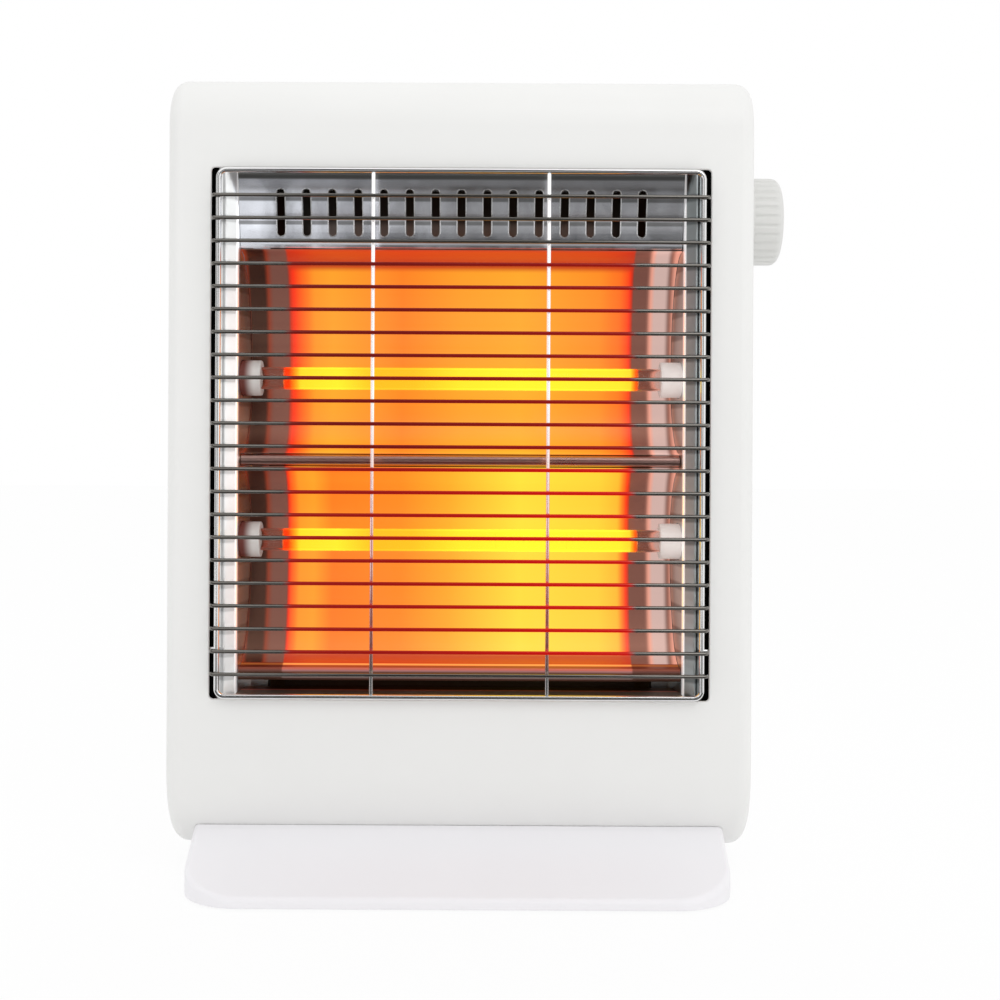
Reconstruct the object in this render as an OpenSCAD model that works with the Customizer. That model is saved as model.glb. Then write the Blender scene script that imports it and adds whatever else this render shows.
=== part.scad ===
// Halogen radiant heater: a slim upright casing on a low wedge base, with two
// halogen lamps in polished troughs behind a wire guard, and a knob on its side.
// Millimetres. The origin is on the floor, under the middle of the overall width
// and depth. X points right, Y points back and Z points up.

/* [Casing] */
// Width of the casing across its front
casing_w = 310; // [292:1:330]
// Depth of the casing from front to back
casing_d = 100; // [94:1:115]
// Height of the casing's top above the floor
casing_top = 426; // [416:1:450]
// Height of the casing's underside above the floor
casing_bottom = 11.5; // [11:0.5:14]
// Distance of the casing's front ahead of the base's middle
casing_front = 35; // [32:0.5:38]
// Wall of the front casing
front_wall = 2.5; // [2:0.1:2.8]
// Wall of the rear casing
rear_wall = 3; // [3:0.1:3.6]
// Radius of the casing's side edges
edge_r = 8; // [7:0.5:11]
// Radius of the front top corner in side view
front_top_r = 28; // [22:1:30]
// Radius of the front bottom corner in side view
front_bottom_r = 45; // [36:1:48]
// Radius of the back top corner in side view
back_top_r = 24; // [18:1:26]
// Radius of the back bottom corner in side view
back_bottom_r = 30; // [24:1:32]
// Distance of the seam between the casings behind the front
seam_depth = 60; // [58:0.5:62]
// Length of the rear casing's lip inside the front casing
lip_l = 5; // [3:0.5:6]
// Thickness of that lip
lip_t = 1.8; // [1.4:0.1:2.2]

/* [Window and guard] */
// Distance of the window's side edges inside the casing's sides
window_side = 23.5; // [22:0.5:26]
// Distance of the window's upper edge below the casing's top
window_drop = 50.5; // [48:0.5:55]
// Distance of the window's lower edge above the casing's underside
window_rise = 84.5; // [80:0.5:88]
// Diameter of the guard's frame wire
frame_wire_d = 2.8; // [2.4:0.1:3.2]
// Distance of the frame wire inside the window's side edges
frame_inset = 4.5; // [3:0.1:5]
// Distance of the frame wire inside the window's upper and lower edges
frame_end_inset = 1.9; // [1.6:0.1:2.4]
// Radius of the frame wire's corners
frame_r = 4; // [3.2:0.1:6]
// Diameter of a guard bar
bar_d = 2; // [1.6:0.1:2.2]
// Number of guard bars between the frame's ends
bar_count = 22; // [18:1:24]
// Extra gap between the top bar and the frame wire above it
bar_top_gap = 1.5; // [0:0.1:3]
// Distance of the bars ahead of the casing's front
guard_proud = 6; // [5:0.5:9]
// Angle by which a bar's end bends back round the frame wire
bar_bend = 75; // [60:1:85]
// Length of a bar's bent tip
bar_tip = 1.6; // [1:0.1:2.2]
// Distance of the two uprights from the middle
upright_x = 46; // [36:1:60]
// Diameter of an upright
upright_d = 2; // [1.6:0.1:2.4]
// Diameter of the hooks that hold the guard
hook_d = 2.4; // [2:0.1:2.4]
// Reach of a hook behind the casing
hook_l = 7; // [5:0.5:9]

/* [Reflectors] */
// Thickness of a side plate
plate_t = 0.8; // [0.6:0.1:1.2]
// Angle by which the side plates close in towards the back
plate_taper = 7; // [4:0.5:10]
// Distance of the side strip's inner edge inside the window's edge
strip_in = 12.8; // [11:0.1:14]
// Distance of that edge behind the casing's front
strip_depth = 9; // [8:0.1:10]
// Width of the side plate's rear flange
rear_flange = 10; // [8:0.5:13]
// Overlap of the side plates beyond the window's ends
plate_tuck = 6; // [4:0.5:8]
// Thickness of the reflector sheet
reflector_t = 0.6; // [0.4:0.1:0.8]
// Depth of a reflector trough
trough_depth = 24; // [21:0.5:25]
// Distance of the trough's lips behind the casing's front
trough_lip = 12; // [11:0.5:14]
// Height of the window's part above the troughs
louvre_h = 41.8; // [36:0.2:44]
// Height of the window's part below the troughs
air_gap_h = 15.3; // [13:0.1:18]
// Distance of the ridge bar below the window's middle
ridge_drop = 14.2; // [8:0.2:20]
// Distance of each lamp from its trough's middle, towards the ridge bar
lamp_shift = 14; // [8:0.5:20]
// Height of the ridge bar between the troughs
ridge_h = 7; // [5:0.5:9]
// Depth of the ridge bar
ridge_d = 12; // [8:0.5:16]
// Distance of the lower trough's rim below its far lip
lip_drop = 6.2; // [3:0.2:6.6]
// Number of slots in the louvre panel
slot_count = 15; // [11:1:17]
// Distance between the slots
slot_pitch = 13.7; // [11:0.1:14.2]
// Width of a slot
slot_w = 4.2; // [3:0.1:5]
// Length of a slot
slot_l = 24; // [16:0.5:26]
// Depth of the bottom shelf
shelf_d = 24; // [16:1:30]
// Distance of the heat shield behind the troughs
shield_gap = 11; // [8:0.5:16]
// Thickness of the heat shield
shield_t = 0.6; // [0.5:0.1:0.9]

/* [Lamps] */
// Distance of the lamps' axes ahead of the deepest line of the troughs
lamp_ahead = 16; // [15:0.5:17]
// Diameter of a lamp tube
lamp_d = 12; // [10:0.5:13]
// Wall of a lamp tube
lamp_wall = 1; // [0.8:0.1:1.4]
// Length of a lamp tube's dark end, from its cap to the filament
cold_end = 11.8; // [8:0.2:20]
// Diameter of the coiled filament
filament_d = 3; // [2:0.1:4]
// Number of discs that carry the filament
support_count = 6; // [4:1:9]
// Diameter of a ceramic cap
cap_d = 19; // [17:0.5:20]
// Length of a cap inside the side plate
cap_in = 10.5; // [8:0.5:13]
// Length of a cap outside the side plate
cap_out = 8; // [7:0.5:10]
// Diameter of a cap's flange
cap_flange_d = 22; // [21:0.5:23]
// Thickness of a cap's flange
cap_flange_t = 3.5; // [2.5:0.5:4]
// Height of a lamp clip
clip_h = 28; // [26:1:34]

/* [Knob and switch] */
// Diameter of the knob
knob_d = 48; // [40:1:52]
// Length of the knob
knob_l = 19.9; // [17:0.1:24]
// Gap between the knob and the casing
knob_gap = 0.6; // [0.4:0.1:1]
// Radius of the knob's outer rim
knob_rim_r = 5; // [3:0.5:6]
// Wall of the knob
knob_wall = 2.5; // [2:0.1:3]
// Number of flutes round the knob
flute_count = 30; // [20:2:36]
// Radius of a flute
flute_r = 1.2; // [0.8:0.1:1.5]
// Height of the knob's axis below the window's top
knob_drop = 20.8; // [18:0.2:24]
// Distance of the knob's axis behind the casing's front
knob_depth = 50; // [47:0.5:50]
// Diameter of the switch shaft
shaft_d = 6; // [5:0.5:6]
// Height of the flat on the shaft above its axis
shaft_flat = 2.2; // [1.8:0.1:2.4]
// Diameter of the rotary switch
switch_d = 32; // [28:1:34]
// Length of the rotary switch
switch_l = 16; // [13:0.5:19]
// Diameter of the switch's bushing
bushing_d = 9; // [8.5:0.5:10]
// Distance of the bracket's screws from the knob's axis
bracket_screw = 22; // [21:0.5:25]
// Length of a switch terminal
tab_l = 7.4; // [6:0.2:9]
// Distance between the switch terminals
tab_pitch = 9; // [8:0.5:10]

/* [Base] */
// Width of the base at its middle
base_w = 283; // [275:1:291]
// Distance by which the base's sides draw in at its corners
base_taper = 3; // [1:0.5:6]
// Depth of the base
base_d = 172; // [162:1:190]
// Radius of the base's corners in plan
base_corner_r = 30; // [22:1:34]
// Height of the base's front edge
base_edge_h = 6; // [5.5:0.5:8]
// Height of the base where it meets the casing
base_h = 28.5; // [26:0.5:30]
// Radius of the base's upper edges
base_round = 3; // [2:0.5:4]
// Wall of the base
base_wall = 2.5; // [2:0.1:3]
// Gap between the base's rim and the floor
rim_gap = 1; // [0.6:0.1:1.5]
// Thickness of the base plate
bottom_t = 2; // [1.5:0.1:2.4]
// Height of a foot
foot_h = 2.5; // [2.2:0.1:3]
// Diameter of a foot
foot_d = 18; // [14:1:20]

/* [Tilt switch] */
// Diameter of the plunger
plunger_d = 8; // [6:0.5:8]
// Travel of the plunger
plunger_travel = 6; // [4:0.5:7]
// Diameter of the plunger's foot
plunger_foot_d = 12; // [11:0.5:14]
// Diameter of the plunger's collar
collar_d = 12; // [11:0.5:12]
// Diameter of the switch housing
housing_d = 18; // [17:0.5:20]
// Height of the switch housing
housing_h = 33; // [30:1:38]
// Distance from the lever's pivot to the plunger
lever_arm = 26; // [24:0.5:30]
// Thickness of the lever
lever_t = 0.5; // [0.4:0.1:0.8]

/* [Back] */
// Width of the grip recess
grip_w = 110; // [90:1:130]
// Height of the grip recess's mouth
grip_h = 22; // [20:1:26]
// Height of the hollow above the mouth
grip_hook = 10; // [6:1:12]
// Depth of the grip recess
grip_d = 26; // [20:1:30]
// Length of a vent slot
vent_l = 34; // [24:1:36]
// Width of a vent slot
vent_w = 3.5; // [2.5:0.1:3.8]
// Distance between the rows of vents
vent_pitch = 8; // [7:0.5:9]
// Number of rows in the upper field of vents
upper_rows = 8; // [4:1:9]
// Number of rows in the lower field of vents
lower_rows = 6; // [3:1:8]
// Bore of the cord gland
gland_bore = 7.6; // [6:0.2:9]
// Diameter of the gland's flange
gland_flange_d = 20; // [18:0.5:24]

/* [Hidden] */
$fn = 48;
eps = 0.01;
fit = 0.3;          // gap between pieces that sit against each other
running = 0.05;     // radial clearance of a shaft that turns or slides in a hole
screw_fit = 0.1;    // radial clearance of a screw in its hole
edge_steps = 5;     // steps round the casing's side edges
screw_d = 3;        // diameter of the small screws
screw_head_d = 5.6; // and of their heads
screw_head_h = 2;   // and the heads' height
casing_screw_l = 24; // length of a casing screw
boss_d = 9;         // diameter of a screw boss
foot_in = 37;       // distance of the feet inside the base's sides
plate_fix_in = 22;  // and of the base plate's screws
shield_end_in = 2;  // distance of the heat shield's ends inside the side plates' ends

// Places that follow from the driving dimensions
mid_x = -(knob_gap + knob_l) / 2;
front_y = -casing_front;
back_y = front_y + casing_d;
seam_y = front_y + seam_depth;
window_w = casing_w - 2 * window_side;
window_bottom = casing_bottom + window_rise;
window_top = casing_top - window_drop;
window_h = window_top - window_bottom;
window_mid = (window_top + window_bottom) / 2;
inner_front_y = front_y + front_wall;

bar_y = front_y - guard_proud;
bar_gap = 0.1;
frame_x = window_w / 2 - frame_inset;
frame_y = bar_y + (bar_d + frame_wire_d) / 2 + bar_gap;
frame_half_h = window_h / 2 - frame_end_inset;
bar_pitch = (2 * frame_half_h - bar_top_gap) / (bar_count + 1);
upright_y = bar_y + (bar_d + upright_d) / 2 + bar_gap;
hook_y = inner_front_y + fit + hook_d / 2;
hook_z = [window_bottom + 26, window_top - 26];

flange_y = hook_y + hook_d / 2 + 2 * fit + plate_t / 2;
flange_x = casing_w / 2 - 8;
strip_out_x = frame_x - hook_d / 2 - bar_gap;
strip_in_x = window_w / 2 - strip_in;
strip_in_y = front_y + strip_depth;
strip_rise = 2.4;
trough_lip_y = front_y + trough_lip;
trough_back_y = trough_lip_y + trough_depth;
near_lip = 3.5;
rear_flange_y = trough_back_y + reflector_t + fit + plate_t / 2;
plate_screw_x = window_w / 2 + 9.5;
plate_screw_z = [window_bottom + 9, window_mid, window_top - 9];

lamp_y = trough_back_y - lamp_ahead;
upper_trough_top = window_top - louvre_h;
lower_trough_bottom = window_bottom + air_gap_h;
ridge_z = window_mid - ridge_drop;
upper_lamp_z = (upper_trough_top + ridge_z + ridge_h / 2) / 2 - lamp_shift;
lower_lamp_z = (lower_trough_bottom + ridge_z - ridge_h / 2) / 2 + lamp_shift;
upper_near = upper_lamp_z - ridge_z - ridge_h / 2;
lower_near = ridge_z - ridge_h / 2 - lower_lamp_z;
cap_x = plate_x(lamp_y);
cap_inner_x = cap_x - cap_in;
cap_flange_x = cap_x + cap_out - cap_flange_t;
cap_end_x = cap_x + cap_out;
tube_half = cap_inner_x + 5;
glow_half = cap_inner_x - cold_end;
shield_y = rear_flange_y + shield_gap;
shield_screw_x = plate_x(rear_flange_y) - 5.5;
shield_screw_z = [lower_lamp_z - 48, upper_lamp_z + 50];

knob_y = front_y + knob_depth;
knob_z = window_top - knob_drop;
knob_x = casing_w / 2 + knob_gap;
casing_in_x = casing_w / 2 - front_wall;
bracket_t = 1.5;
bracket_x = casing_in_x - 3.8;
switch_x = bracket_x - fit - switch_l;
shaft_x0 = switch_x + switch_l / 2;
knob_bore_l = knob_l - 4.9;
tab_x = switch_x - tab_l;

base_plate_z = foot_h;
base_screw_x = casing_w / 2 - 44;
base_screw_y = [seam_y - 11, seam_y + 8];
base_screw_d = 3.8;
base_end_w = base_w - 2 * base_taper;
plate_fix = [for (side = [-1, 1], y = [30 - base_d / 2, base_d / 2 - 23])
    [side * (base_w / 2 - plate_fix_in), y]];
foot_x = base_w / 2 - foot_in;
foot_y = [19 - base_d / 2, base_d / 2 - 15];
casing_screw_x = casing_w / 2 - 18;
casing_screw_z = [casing_bottom + 56, casing_top - 33];
casing_screw_seat = seam_y + 6;

tilt_y = seam_y - housing_d / 2 - 1;
housing_z = casing_bottom + front_wall + 2 * fit;
housing_top = housing_z + housing_h;
tilt_cap_z = housing_top + 0.2;
tilt_cap_h = 4.8;
collar_z = housing_z + 8.2 + plunger_travel;
collar_h = 2;
plunger_shoulder = tilt_cap_z + tilt_cap_h + plunger_travel - 1;
plunger_top = plunger_shoulder + 4;
lever_z = plunger_top + fit;
pin_d = 1.2;
pin_z = lever_z + lever_t / 2;
micro_h = 10;
micro_w = 6.5;
micro_x0 = 5;
micro_l = lever_arm - 1;
micro_z = lever_z + lever_t + 2;

grip_z = casing_top - back_top_r - grip_h - grip_hook - 5;
gland_x = -(casing_w / 2 - 54);
gland_z = casing_bottom + back_bottom_r + 14;
cutout_x = -60;
cutout_z = upper_lamp_z + 34;
block_x = -50;
block_z = casing_bottom + back_bottom_r + 8;

// Routes of the leads inside the casing
lead_d = 2.4;
tube_sides = 8;
cap_exit = [cap_end_x + fit, lamp_y, 0];
tab_exit = [tab_x - fit, knob_y, knob_z];
into_tab = [-4, 0, 0];  // the straight end of a lead
side_x = casing_in_x - 17.5;
high_route = [
    cap_exit + [0, 0, upper_lamp_z], [side_x, lamp_y, upper_lamp_z + 0.5],
    [side_x + 4, lamp_y + 9, upper_lamp_z + 18], [side_x, lamp_y + 23, upper_lamp_z + 44],
    [side_x - 18, knob_y, knob_z - 26.7], tab_exit + 2 * into_tab + [0, 0, -tab_pitch - 2],
    tab_exit + into_tab + [0, 0, -tab_pitch], tab_exit + [0, 0, -tab_pitch]];
low_route = [
    cap_exit + [0, 0, lower_lamp_z], [side_x + 2, lamp_y + 1, lower_lamp_z + 0.5],
    [side_x + 7, lamp_y + 13, lower_lamp_z + 32], [side_x + 7, lamp_y + 27, upper_lamp_z + 24],
    [side_x - 10, lamp_y + 39, knob_z - 28.7], tab_exit + 3 * into_tab + [0, 4, -3],
    tab_exit + into_tab, tab_exit];
splice = [-side_x - 4, lamp_y + 7, ridge_z];
link_upper_route = [
    [-cap_exit.x, lamp_y, upper_lamp_z], [-side_x, lamp_y + 1, upper_lamp_z - 1.5],
    splice + [0, -1, 26], splice + [0, 0, 6.3]];
link_lower_route = [
    [-cap_exit.x, lamp_y, lower_lamp_z], [-side_x, lamp_y + 1, lower_lamp_z + 0.5],
    splice + [0, -1, -26], splice + [0, 0, -6.3]];
return_route = [
    splice + [0, 2.8, 0], splice + [2, 16, 6], [16 - side_x, shield_y + 10.7, cutout_z - 40],
    [44 - side_x, shield_y + 12.7, cutout_z - 10],
    [cutout_x - 14 - fit, shield_y + 7, cutout_z] + into_tab,
    [cutout_x - 14 - fit, shield_y + 7, cutout_z]];
neutral_route = [
    [cutout_x + 14 + fit, shield_y + 7, cutout_z],
    [cutout_x + 14 + fit, shield_y + 7, cutout_z] - into_tab,
    [cutout_x + 22, shield_y + 14.7, cutout_z - 20],
    [cutout_x + 26, shield_y + 24.7, cutout_z - 100], [block_x + 14, back_y - 25, block_z + 56],
    [block_x + 10, back_y - rear_wall - 15.1, block_z]];
live_route = [
    [block_x - 10, back_y - rear_wall - 15.1, block_z], [block_x - 4, back_y - 27, block_z - 4],
    [block_x + 14, back_y - 35, block_z + 2], [-10, tilt_y, micro_z + 14],
    [micro_x0 - fit - 3, tilt_y, micro_z + 5] + into_tab,
    [micro_x0 - fit - 3, tilt_y, micro_z + 5]];
common_route = [
    [micro_x0 + micro_l + 3 + fit, tilt_y, micro_z + 5],
    [micro_x0 + micro_l + 3 + fit, tilt_y, micro_z + 5] - into_tab, [60, tilt_y + 9, micro_z + 15.4],
    [side_x - 22, tilt_y + 17, micro_z + 61.4], [side_x - 10, tilt_y + 21, upper_lamp_z - 6],
    [side_x - 14, tilt_y + 17, knob_z + 1.3], tab_exit + 3 * into_tab + [0, 4, tab_pitch + 2],
    tab_exit + into_tab + [0, 0, tab_pitch], tab_exit + [0, 0, tab_pitch]];

// Colours, as the photograph shows them
casing_white = [0.94, 0.94, 0.93];
base_white = [0.92, 0.91, 0.93];
knob_white = [0.90, 0.90, 0.89];
bright_wire = [0.72, 0.73, 0.74];
mirror_metal = [0.80, 0.80, 0.82];
warm_mirror = [0.90, 0.62, 0.38];
zinc = [0.62, 0.63, 0.65];
brass = [0.78, 0.64, 0.34];
ceramic = [0.95, 0.92, 0.88];
lamp_glow = [1.0, 0.78, 0.25];
filament_glow = [1.0, 0.9, 0.5];
black_rubber = [0.12, 0.12, 0.12];
dark_plastic = [0.20, 0.20, 0.21];
red_cover = [0.75, 0.15, 0.12];
black_cover = [0.10, 0.10, 0.10];
blue_cover = [0.12, 0.30, 0.65];

// ---------- Geometry helpers ----------

function unit(v) = v / norm(v);

// Points along an arc about c
function arc(c, r, from, to, n = 8) =
    [for (i = [0:n]) let (a = from + (to - from) * i / n) c + r * [cos(a), sin(a)]];

// A rectangle with its own radius at each corner, from the low left, anticlockwise
function rounded(x0, x1, y0, y1, r) = concat(
    arc([x0 + r[0], y0 + r[0]], r[0], 180, 270),
    arc([x1 - r[1], y0 + r[1]], r[1], 270, 360),
    arc([x1 - r[2], y1 - r[2]], r[2], 0, 90),
    arc([x0 + r[3], y1 - r[3]], r[3], 90, 180));

// One side of a bent sheet whose centre line is path
function sheet_side(path, half) = [
    for (i = [0:len(path) - 1])
        let (after = unit(path[min(i, len(path) - 2) + 1] - path[min(i, len(path) - 2)]),
             before = unit(path[max(i, 1)] - path[max(i, 1) - 1]),
             along = unit(after + before))
        path[i] + half / (along * before) * [-along.y, along.x]];

function reversed(list) = [for (i = [len(list) - 1:-1:0]) list[i]];

// The outline of a bent sheet of thickness t
function sheet(path, t) =
    concat(sheet_side(path, t / 2), reversed(sheet_side(path, -t / 2)));

// Distance of a side plate's centre line from the middle, at depth y
function plate_x(y) = strip_in_x - (y - strip_in_y) * tan(plate_taper);

// A smooth curve through the points of a route
function between(p, i, t) =
    let (a = p[max(i - 1, 0)], b = p[i], c = p[i + 1], d = p[min(i + 2, len(p) - 1)])
    0.5 * (2 * b + (c - a) * t + (2 * a - 5 * b + 4 * c - d) * t * t
        + (3 * b - a - 3 * c + d) * t * t * t);
function smooth(p, n) = concat(
    [for (i = [0:len(p) - 2], k = [0:n - 1]) between(p, i, k / n)], [p[len(p) - 1]]);

// Puts the symmetric middle of the casing at its place in the frame
module from_middle() translate([mid_x, 0, 0]) children();

// Stands a Y-Z outline up and runs it along X, from x0 to x1
module along_x(x0, x1)
    translate([x0, 0, 0]) rotate([90, 0, 90]) linear_extrude(x1 - x0) children();

// A round bar along X, Y or Z
module bar_x(d, x0, x1)
    translate([x0, 0, 0]) rotate([0, 90, 0]) cylinder(d = d, h = x1 - x0);
module bar_y(d, y0, y1)
    translate([0, y0, 0]) rotate([-90, 0, 0]) cylinder(d = d, h = y1 - y0);
module bar_z(d, z0, z1)
    translate([0, 0, z0]) cylinder(d = d, h = z1 - z0);

// A box between two corners
module box(low, high) translate(low) cube(high - low);

module both_sides() {
    children();
    mirror([1, 0, 0]) children();
}

// A pan-head screw whose head seats on the plane z = 0, with its shank below
module screw(d, length, head_d, head_h) {
    bar_z(d, -length, eps);
    bar_z(head_d, 0, head_h);
}

// A round tube swept along the points of a path; up is a direction the path never takes
module tube(path, d, up) {
    last = len(path) - 1;
    rings = [for (i = [0:last])
        let (t = unit(path[min(i + 1, last)] - path[max(i - 1, 0)]),
             u = unit(cross(t, up)), v = cross(t, u))
        for (j = [0:tube_sides - 1])
            path[i] + d / 2 * (cos(360 * j / tube_sides) * u + sin(360 * j / tube_sides) * v)];
    sides = [for (i = [0:last - 1], j = [0:tube_sides - 1])
        let (a = i * tube_sides + j, b = i * tube_sides + (j + 1) % tube_sides)
        each [[a, a + tube_sides, b + tube_sides], [a, b + tube_sides, b]]];
    start = [for (j = [1:tube_sides - 2]) [0, j, j + 1]];
    end = [for (j = [1:tube_sides - 2]) [for (k = [0, j + 1, j]) last * tube_sides + k]];
    polyhedron(points = rings, faces = concat(sides, start, end));
}

// A lead along its route: a smooth curve with a straight run at each end
module lead(route) {
    last = len(route) - 1;
    curve = smooth([for (i = [1:last - 1]) route[i]], 2);
    tube(concat([route[0]], curve, [route[last]]), lead_d, [0.8, 0.55, 0.23]);
}

// ---------- Casing ----------

// Side profile of the casing, drawn in by d
module casing_profile(d) polygon(rounded(
    front_y + d, back_y - d, casing_bottom + d, casing_top - d,
    [front_bottom_r - d, back_bottom_r - d, back_top_r - d, front_top_r - d]));

// The casing's form with rounded side edges, drawn in by d all over
module casing_form(d) {
    r = edge_r - d;
    hull() for (a = [0:90 / edge_steps:90]) {
        x = casing_w / 2 - d - r * (1 - sin(a));
        along_x(-x, x) casing_profile(d + r * (1 - cos(a)));
    }
}

module casing_slab(y0, y1)
    box([-casing_w, y0, 0], [casing_w, y1, 2 * casing_top]);

// A hole for each casing screw, from y0 to y1
module at_casing_screws()
    for (side = [-1, 1], z = casing_screw_z) translate([side * casing_screw_x, 0, z]) children();

module at_base_screws(y)
    for (side = [-1, 1]) translate([side * base_screw_x, y, 0]) children();

module at_plate_screws()
    for (z = plate_screw_z) translate([plate_screw_x, 0, z]) children();

module front_casing() {
    color(casing_white) from_middle() difference() {
        union() {
            intersection() {
                difference() {
                    casing_form(0);
                    casing_form(front_wall);
                }
                casing_slab(front_y - 1, seam_y);
            }
            at_casing_screws() bar_y(boss_d, inner_front_y - 1, seam_y);
            at_base_screws(base_screw_y[0])
                bar_z(boss_d, casing_bottom + 1, casing_bottom + 18);
            both_sides() at_plate_screws()
                bar_y(boss_d - 1, inner_front_y - 1, flange_y - plate_t / 2 - eps);
            for (s = [-1, 1]) translate([0, knob_y, knob_z + s * bracket_screw])
                bar_x(boss_d - 1, bracket_x + bracket_t + eps, casing_in_x + 1);
        }
        box([-window_w / 2, front_y - 1, window_bottom],
            [window_w / 2, inner_front_y + 1, window_top]);
        at_casing_screws() bar_y(screw_d + 2 * screw_fit, seam_y - 22, seam_y + 1);
        at_base_screws(base_screw_y[0])
            bar_z(base_screw_d + 2 * screw_fit, casing_bottom - 1, casing_bottom + 15);
        both_sides() at_plate_screws()
            bar_y(screw_d + 2 * screw_fit, front_y + 1.2, flange_y);
        translate([0, knob_y, knob_z]) {
            bar_x(bushing_d + 1, casing_in_x - 1, casing_w);
            for (s = [-1, 1]) translate([0, 0, s * bracket_screw])
                bar_x(screw_d + 2 * screw_fit, bracket_x, casing_in_x + 1);
        }
        translate([0, tilt_y, 0])
            bar_z(plunger_d + 2, casing_bottom - 1, casing_bottom + front_wall + 1);
    }
}

module vents(z0, rows)
    for (row = [0:rows - 1], column = [-2:2])
        translate([column * (vent_l + 10) - vent_l / 2, back_y - 10, z0 + row * vent_pitch])
            cube([vent_l, 20, vent_w]);

module grip_hollow(wall) {
    box([-grip_w / 2 - wall, back_y - grip_d - wall, grip_z - wall],
        [grip_w / 2 + wall, back_y - rear_wall + 0.5 * sign(wall), grip_z + grip_h + grip_hook + wall]);
}

module rear_casing() {
    lip_d = front_wall + fit;
    color(casing_white) from_middle() difference() {
        union() {
            intersection() {
                difference() {
                    casing_form(0);
                    casing_form(rear_wall);
                }
                casing_slab(seam_y + fit, back_y + 1);
            }
            difference() {
                intersection() {
                    difference() {
                        casing_form(lip_d);
                        casing_form(lip_d + lip_t);
                    }
                    casing_slab(seam_y - lip_l, seam_y + 4);
                }
                box([-housing_d, seam_y - 2 * lip_l, 0],
                    [housing_d, seam_y, casing_bottom + 2 * edge_r]);
            }
            at_casing_screws() bar_y(boss_d + 1, seam_y + fit, back_y - 1);
            at_base_screws(base_screw_y[1])
                bar_z(boss_d, casing_bottom + 1, casing_bottom + 18);
            grip_hollow(rear_wall);
        }
        grip_hollow(0);
        box([-grip_w / 2, back_y - rear_wall - 1, grip_z], [grip_w / 2, back_y + 1, grip_z + grip_h]);
        vents(grip_z - rear_wall - 14 - vent_w - (upper_rows - 1) * vent_pitch, upper_rows);
        vents(window_bottom + 24, lower_rows);
        at_casing_screws() {
            bar_y(screw_d + 2 * screw_fit, seam_y - 1, back_y);
            bar_y(screw_head_d + 1, casing_screw_seat, back_y + 1);
        }
        at_base_screws(base_screw_y[1])
            bar_z(base_screw_d + 2 * screw_fit, casing_bottom - 1, casing_bottom + 15);
        translate([gland_x, 0, gland_z]) bar_y(gland_bore + 6.4, back_y - 10, back_y + 1);
    }
}

module casing_screws() {
    color(zinc) from_middle() at_casing_screws()
        translate([0, casing_screw_seat, 0]) rotate([-90, 0, 0])
            screw(screw_d, casing_screw_l, screw_head_d, screw_head_h);
}

// ---------- Base ----------

// Plan of the base, drawn in by d
module base_plan(d) {
    x = base_end_w / 2 - d;
    y = base_d / 2 - d;
    r = base_corner_r - d;
    polygon(concat(
        arc([r - x, r - y], r, 180, 270), arc([x - r, r - y], r, 270, 360),
        [[base_w / 2 - d, 0]],
        arc([x - r, y - r], r, 0, 90), arc([r - x, y - r], r, 90, 180),
        [[d - base_w / 2, 0]]));
}

// Side profile of the base's upper side, lowered by d
module base_profile(d) polygon([
    [-base_d / 2, 0], [base_d / 2, 0], [base_d / 2, base_edge_h - d],
    [back_y - 13, base_h - d], [front_y + 13, base_h - d], [-base_d / 2, base_edge_h - d]]);

module base_block(inset, lowered, z0)
    intersection() {
        translate([0, 0, z0]) linear_extrude(base_h) base_plan(inset);
        along_x(-base_w / 2, base_w / 2) base_profile(lowered);
    }

// The base's form with rounded upper edges
module base_form()
    hull() for (a = [0:22.5:90])
        base_block(base_round * (1 - cos(a)), base_round * (1 - sin(a)), rim_gap);

// The seat that the casing's rounded underside makes in the base, grown by d
module casing_seat(d) along_x(-base_w, base_w) casing_profile(-d);

module at_plate_fix() for (p = plate_fix) translate([p.x, p.y, 0]) children();

module base_shell() {
    color(base_white) from_middle() difference() {
        base_form();
        casing_seat(fit);
        difference() {
            base_block(base_wall, base_wall, -1);
            casing_seat(fit + base_wall);
            at_plate_fix() bar_z(boss_d, base_plate_z + bottom_t + eps, base_h);
        }
        at_plate_fix() bar_z(screw_d + 2 * screw_fit, -1, base_plate_z + bottom_t + 5);
        for (y = base_screw_y) at_base_screws(y) bar_z(base_screw_d + 0.6, 5, 20);
        translate([0, tilt_y, 0]) bar_z(plunger_d + 2, 5, 20);
    }
}

module base_plate() {
    color(zinc) from_middle() difference() {
        translate([0, 0, base_plate_z]) linear_extrude(bottom_t) base_plan(base_wall + fit);
        at_plate_fix() bar_z(screw_d + 2 * screw_fit, 0, 10);
        for (side = [-1, 1], y = foot_y)
            translate([side * foot_x, y, 0]) bar_z(6.4, 0, 10);
        translate([0, tilt_y, 0]) bar_z(plunger_foot_d + 2, 0, 10);
    }
}

module base_plate_screws() {
    color(zinc) from_middle() at_plate_fix()
        translate([0, 0, base_plate_z]) mirror([0, 0, 1])
            screw(screw_d, bottom_t + 4, screw_head_d, base_plate_z - 0.7);
}

module base_screws() {
    seat = casing_bottom - fit - base_wall;
    color(zinc) from_middle() for (y = base_screw_y) at_base_screws(y)
        translate([0, 0, seat]) mirror([0, 0, 1])
            screw(base_screw_d, 16, 7.6, 2.6);
}

module foot(x, y) {
    color(black_rubber) from_middle() translate([x, y, 0]) {
        bar_z(foot_d, 0, foot_h - eps);
        bar_z(6, foot_h - 1, foot_h + bottom_t + 1);
    }
}

// ---------- Guard ----------

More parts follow.
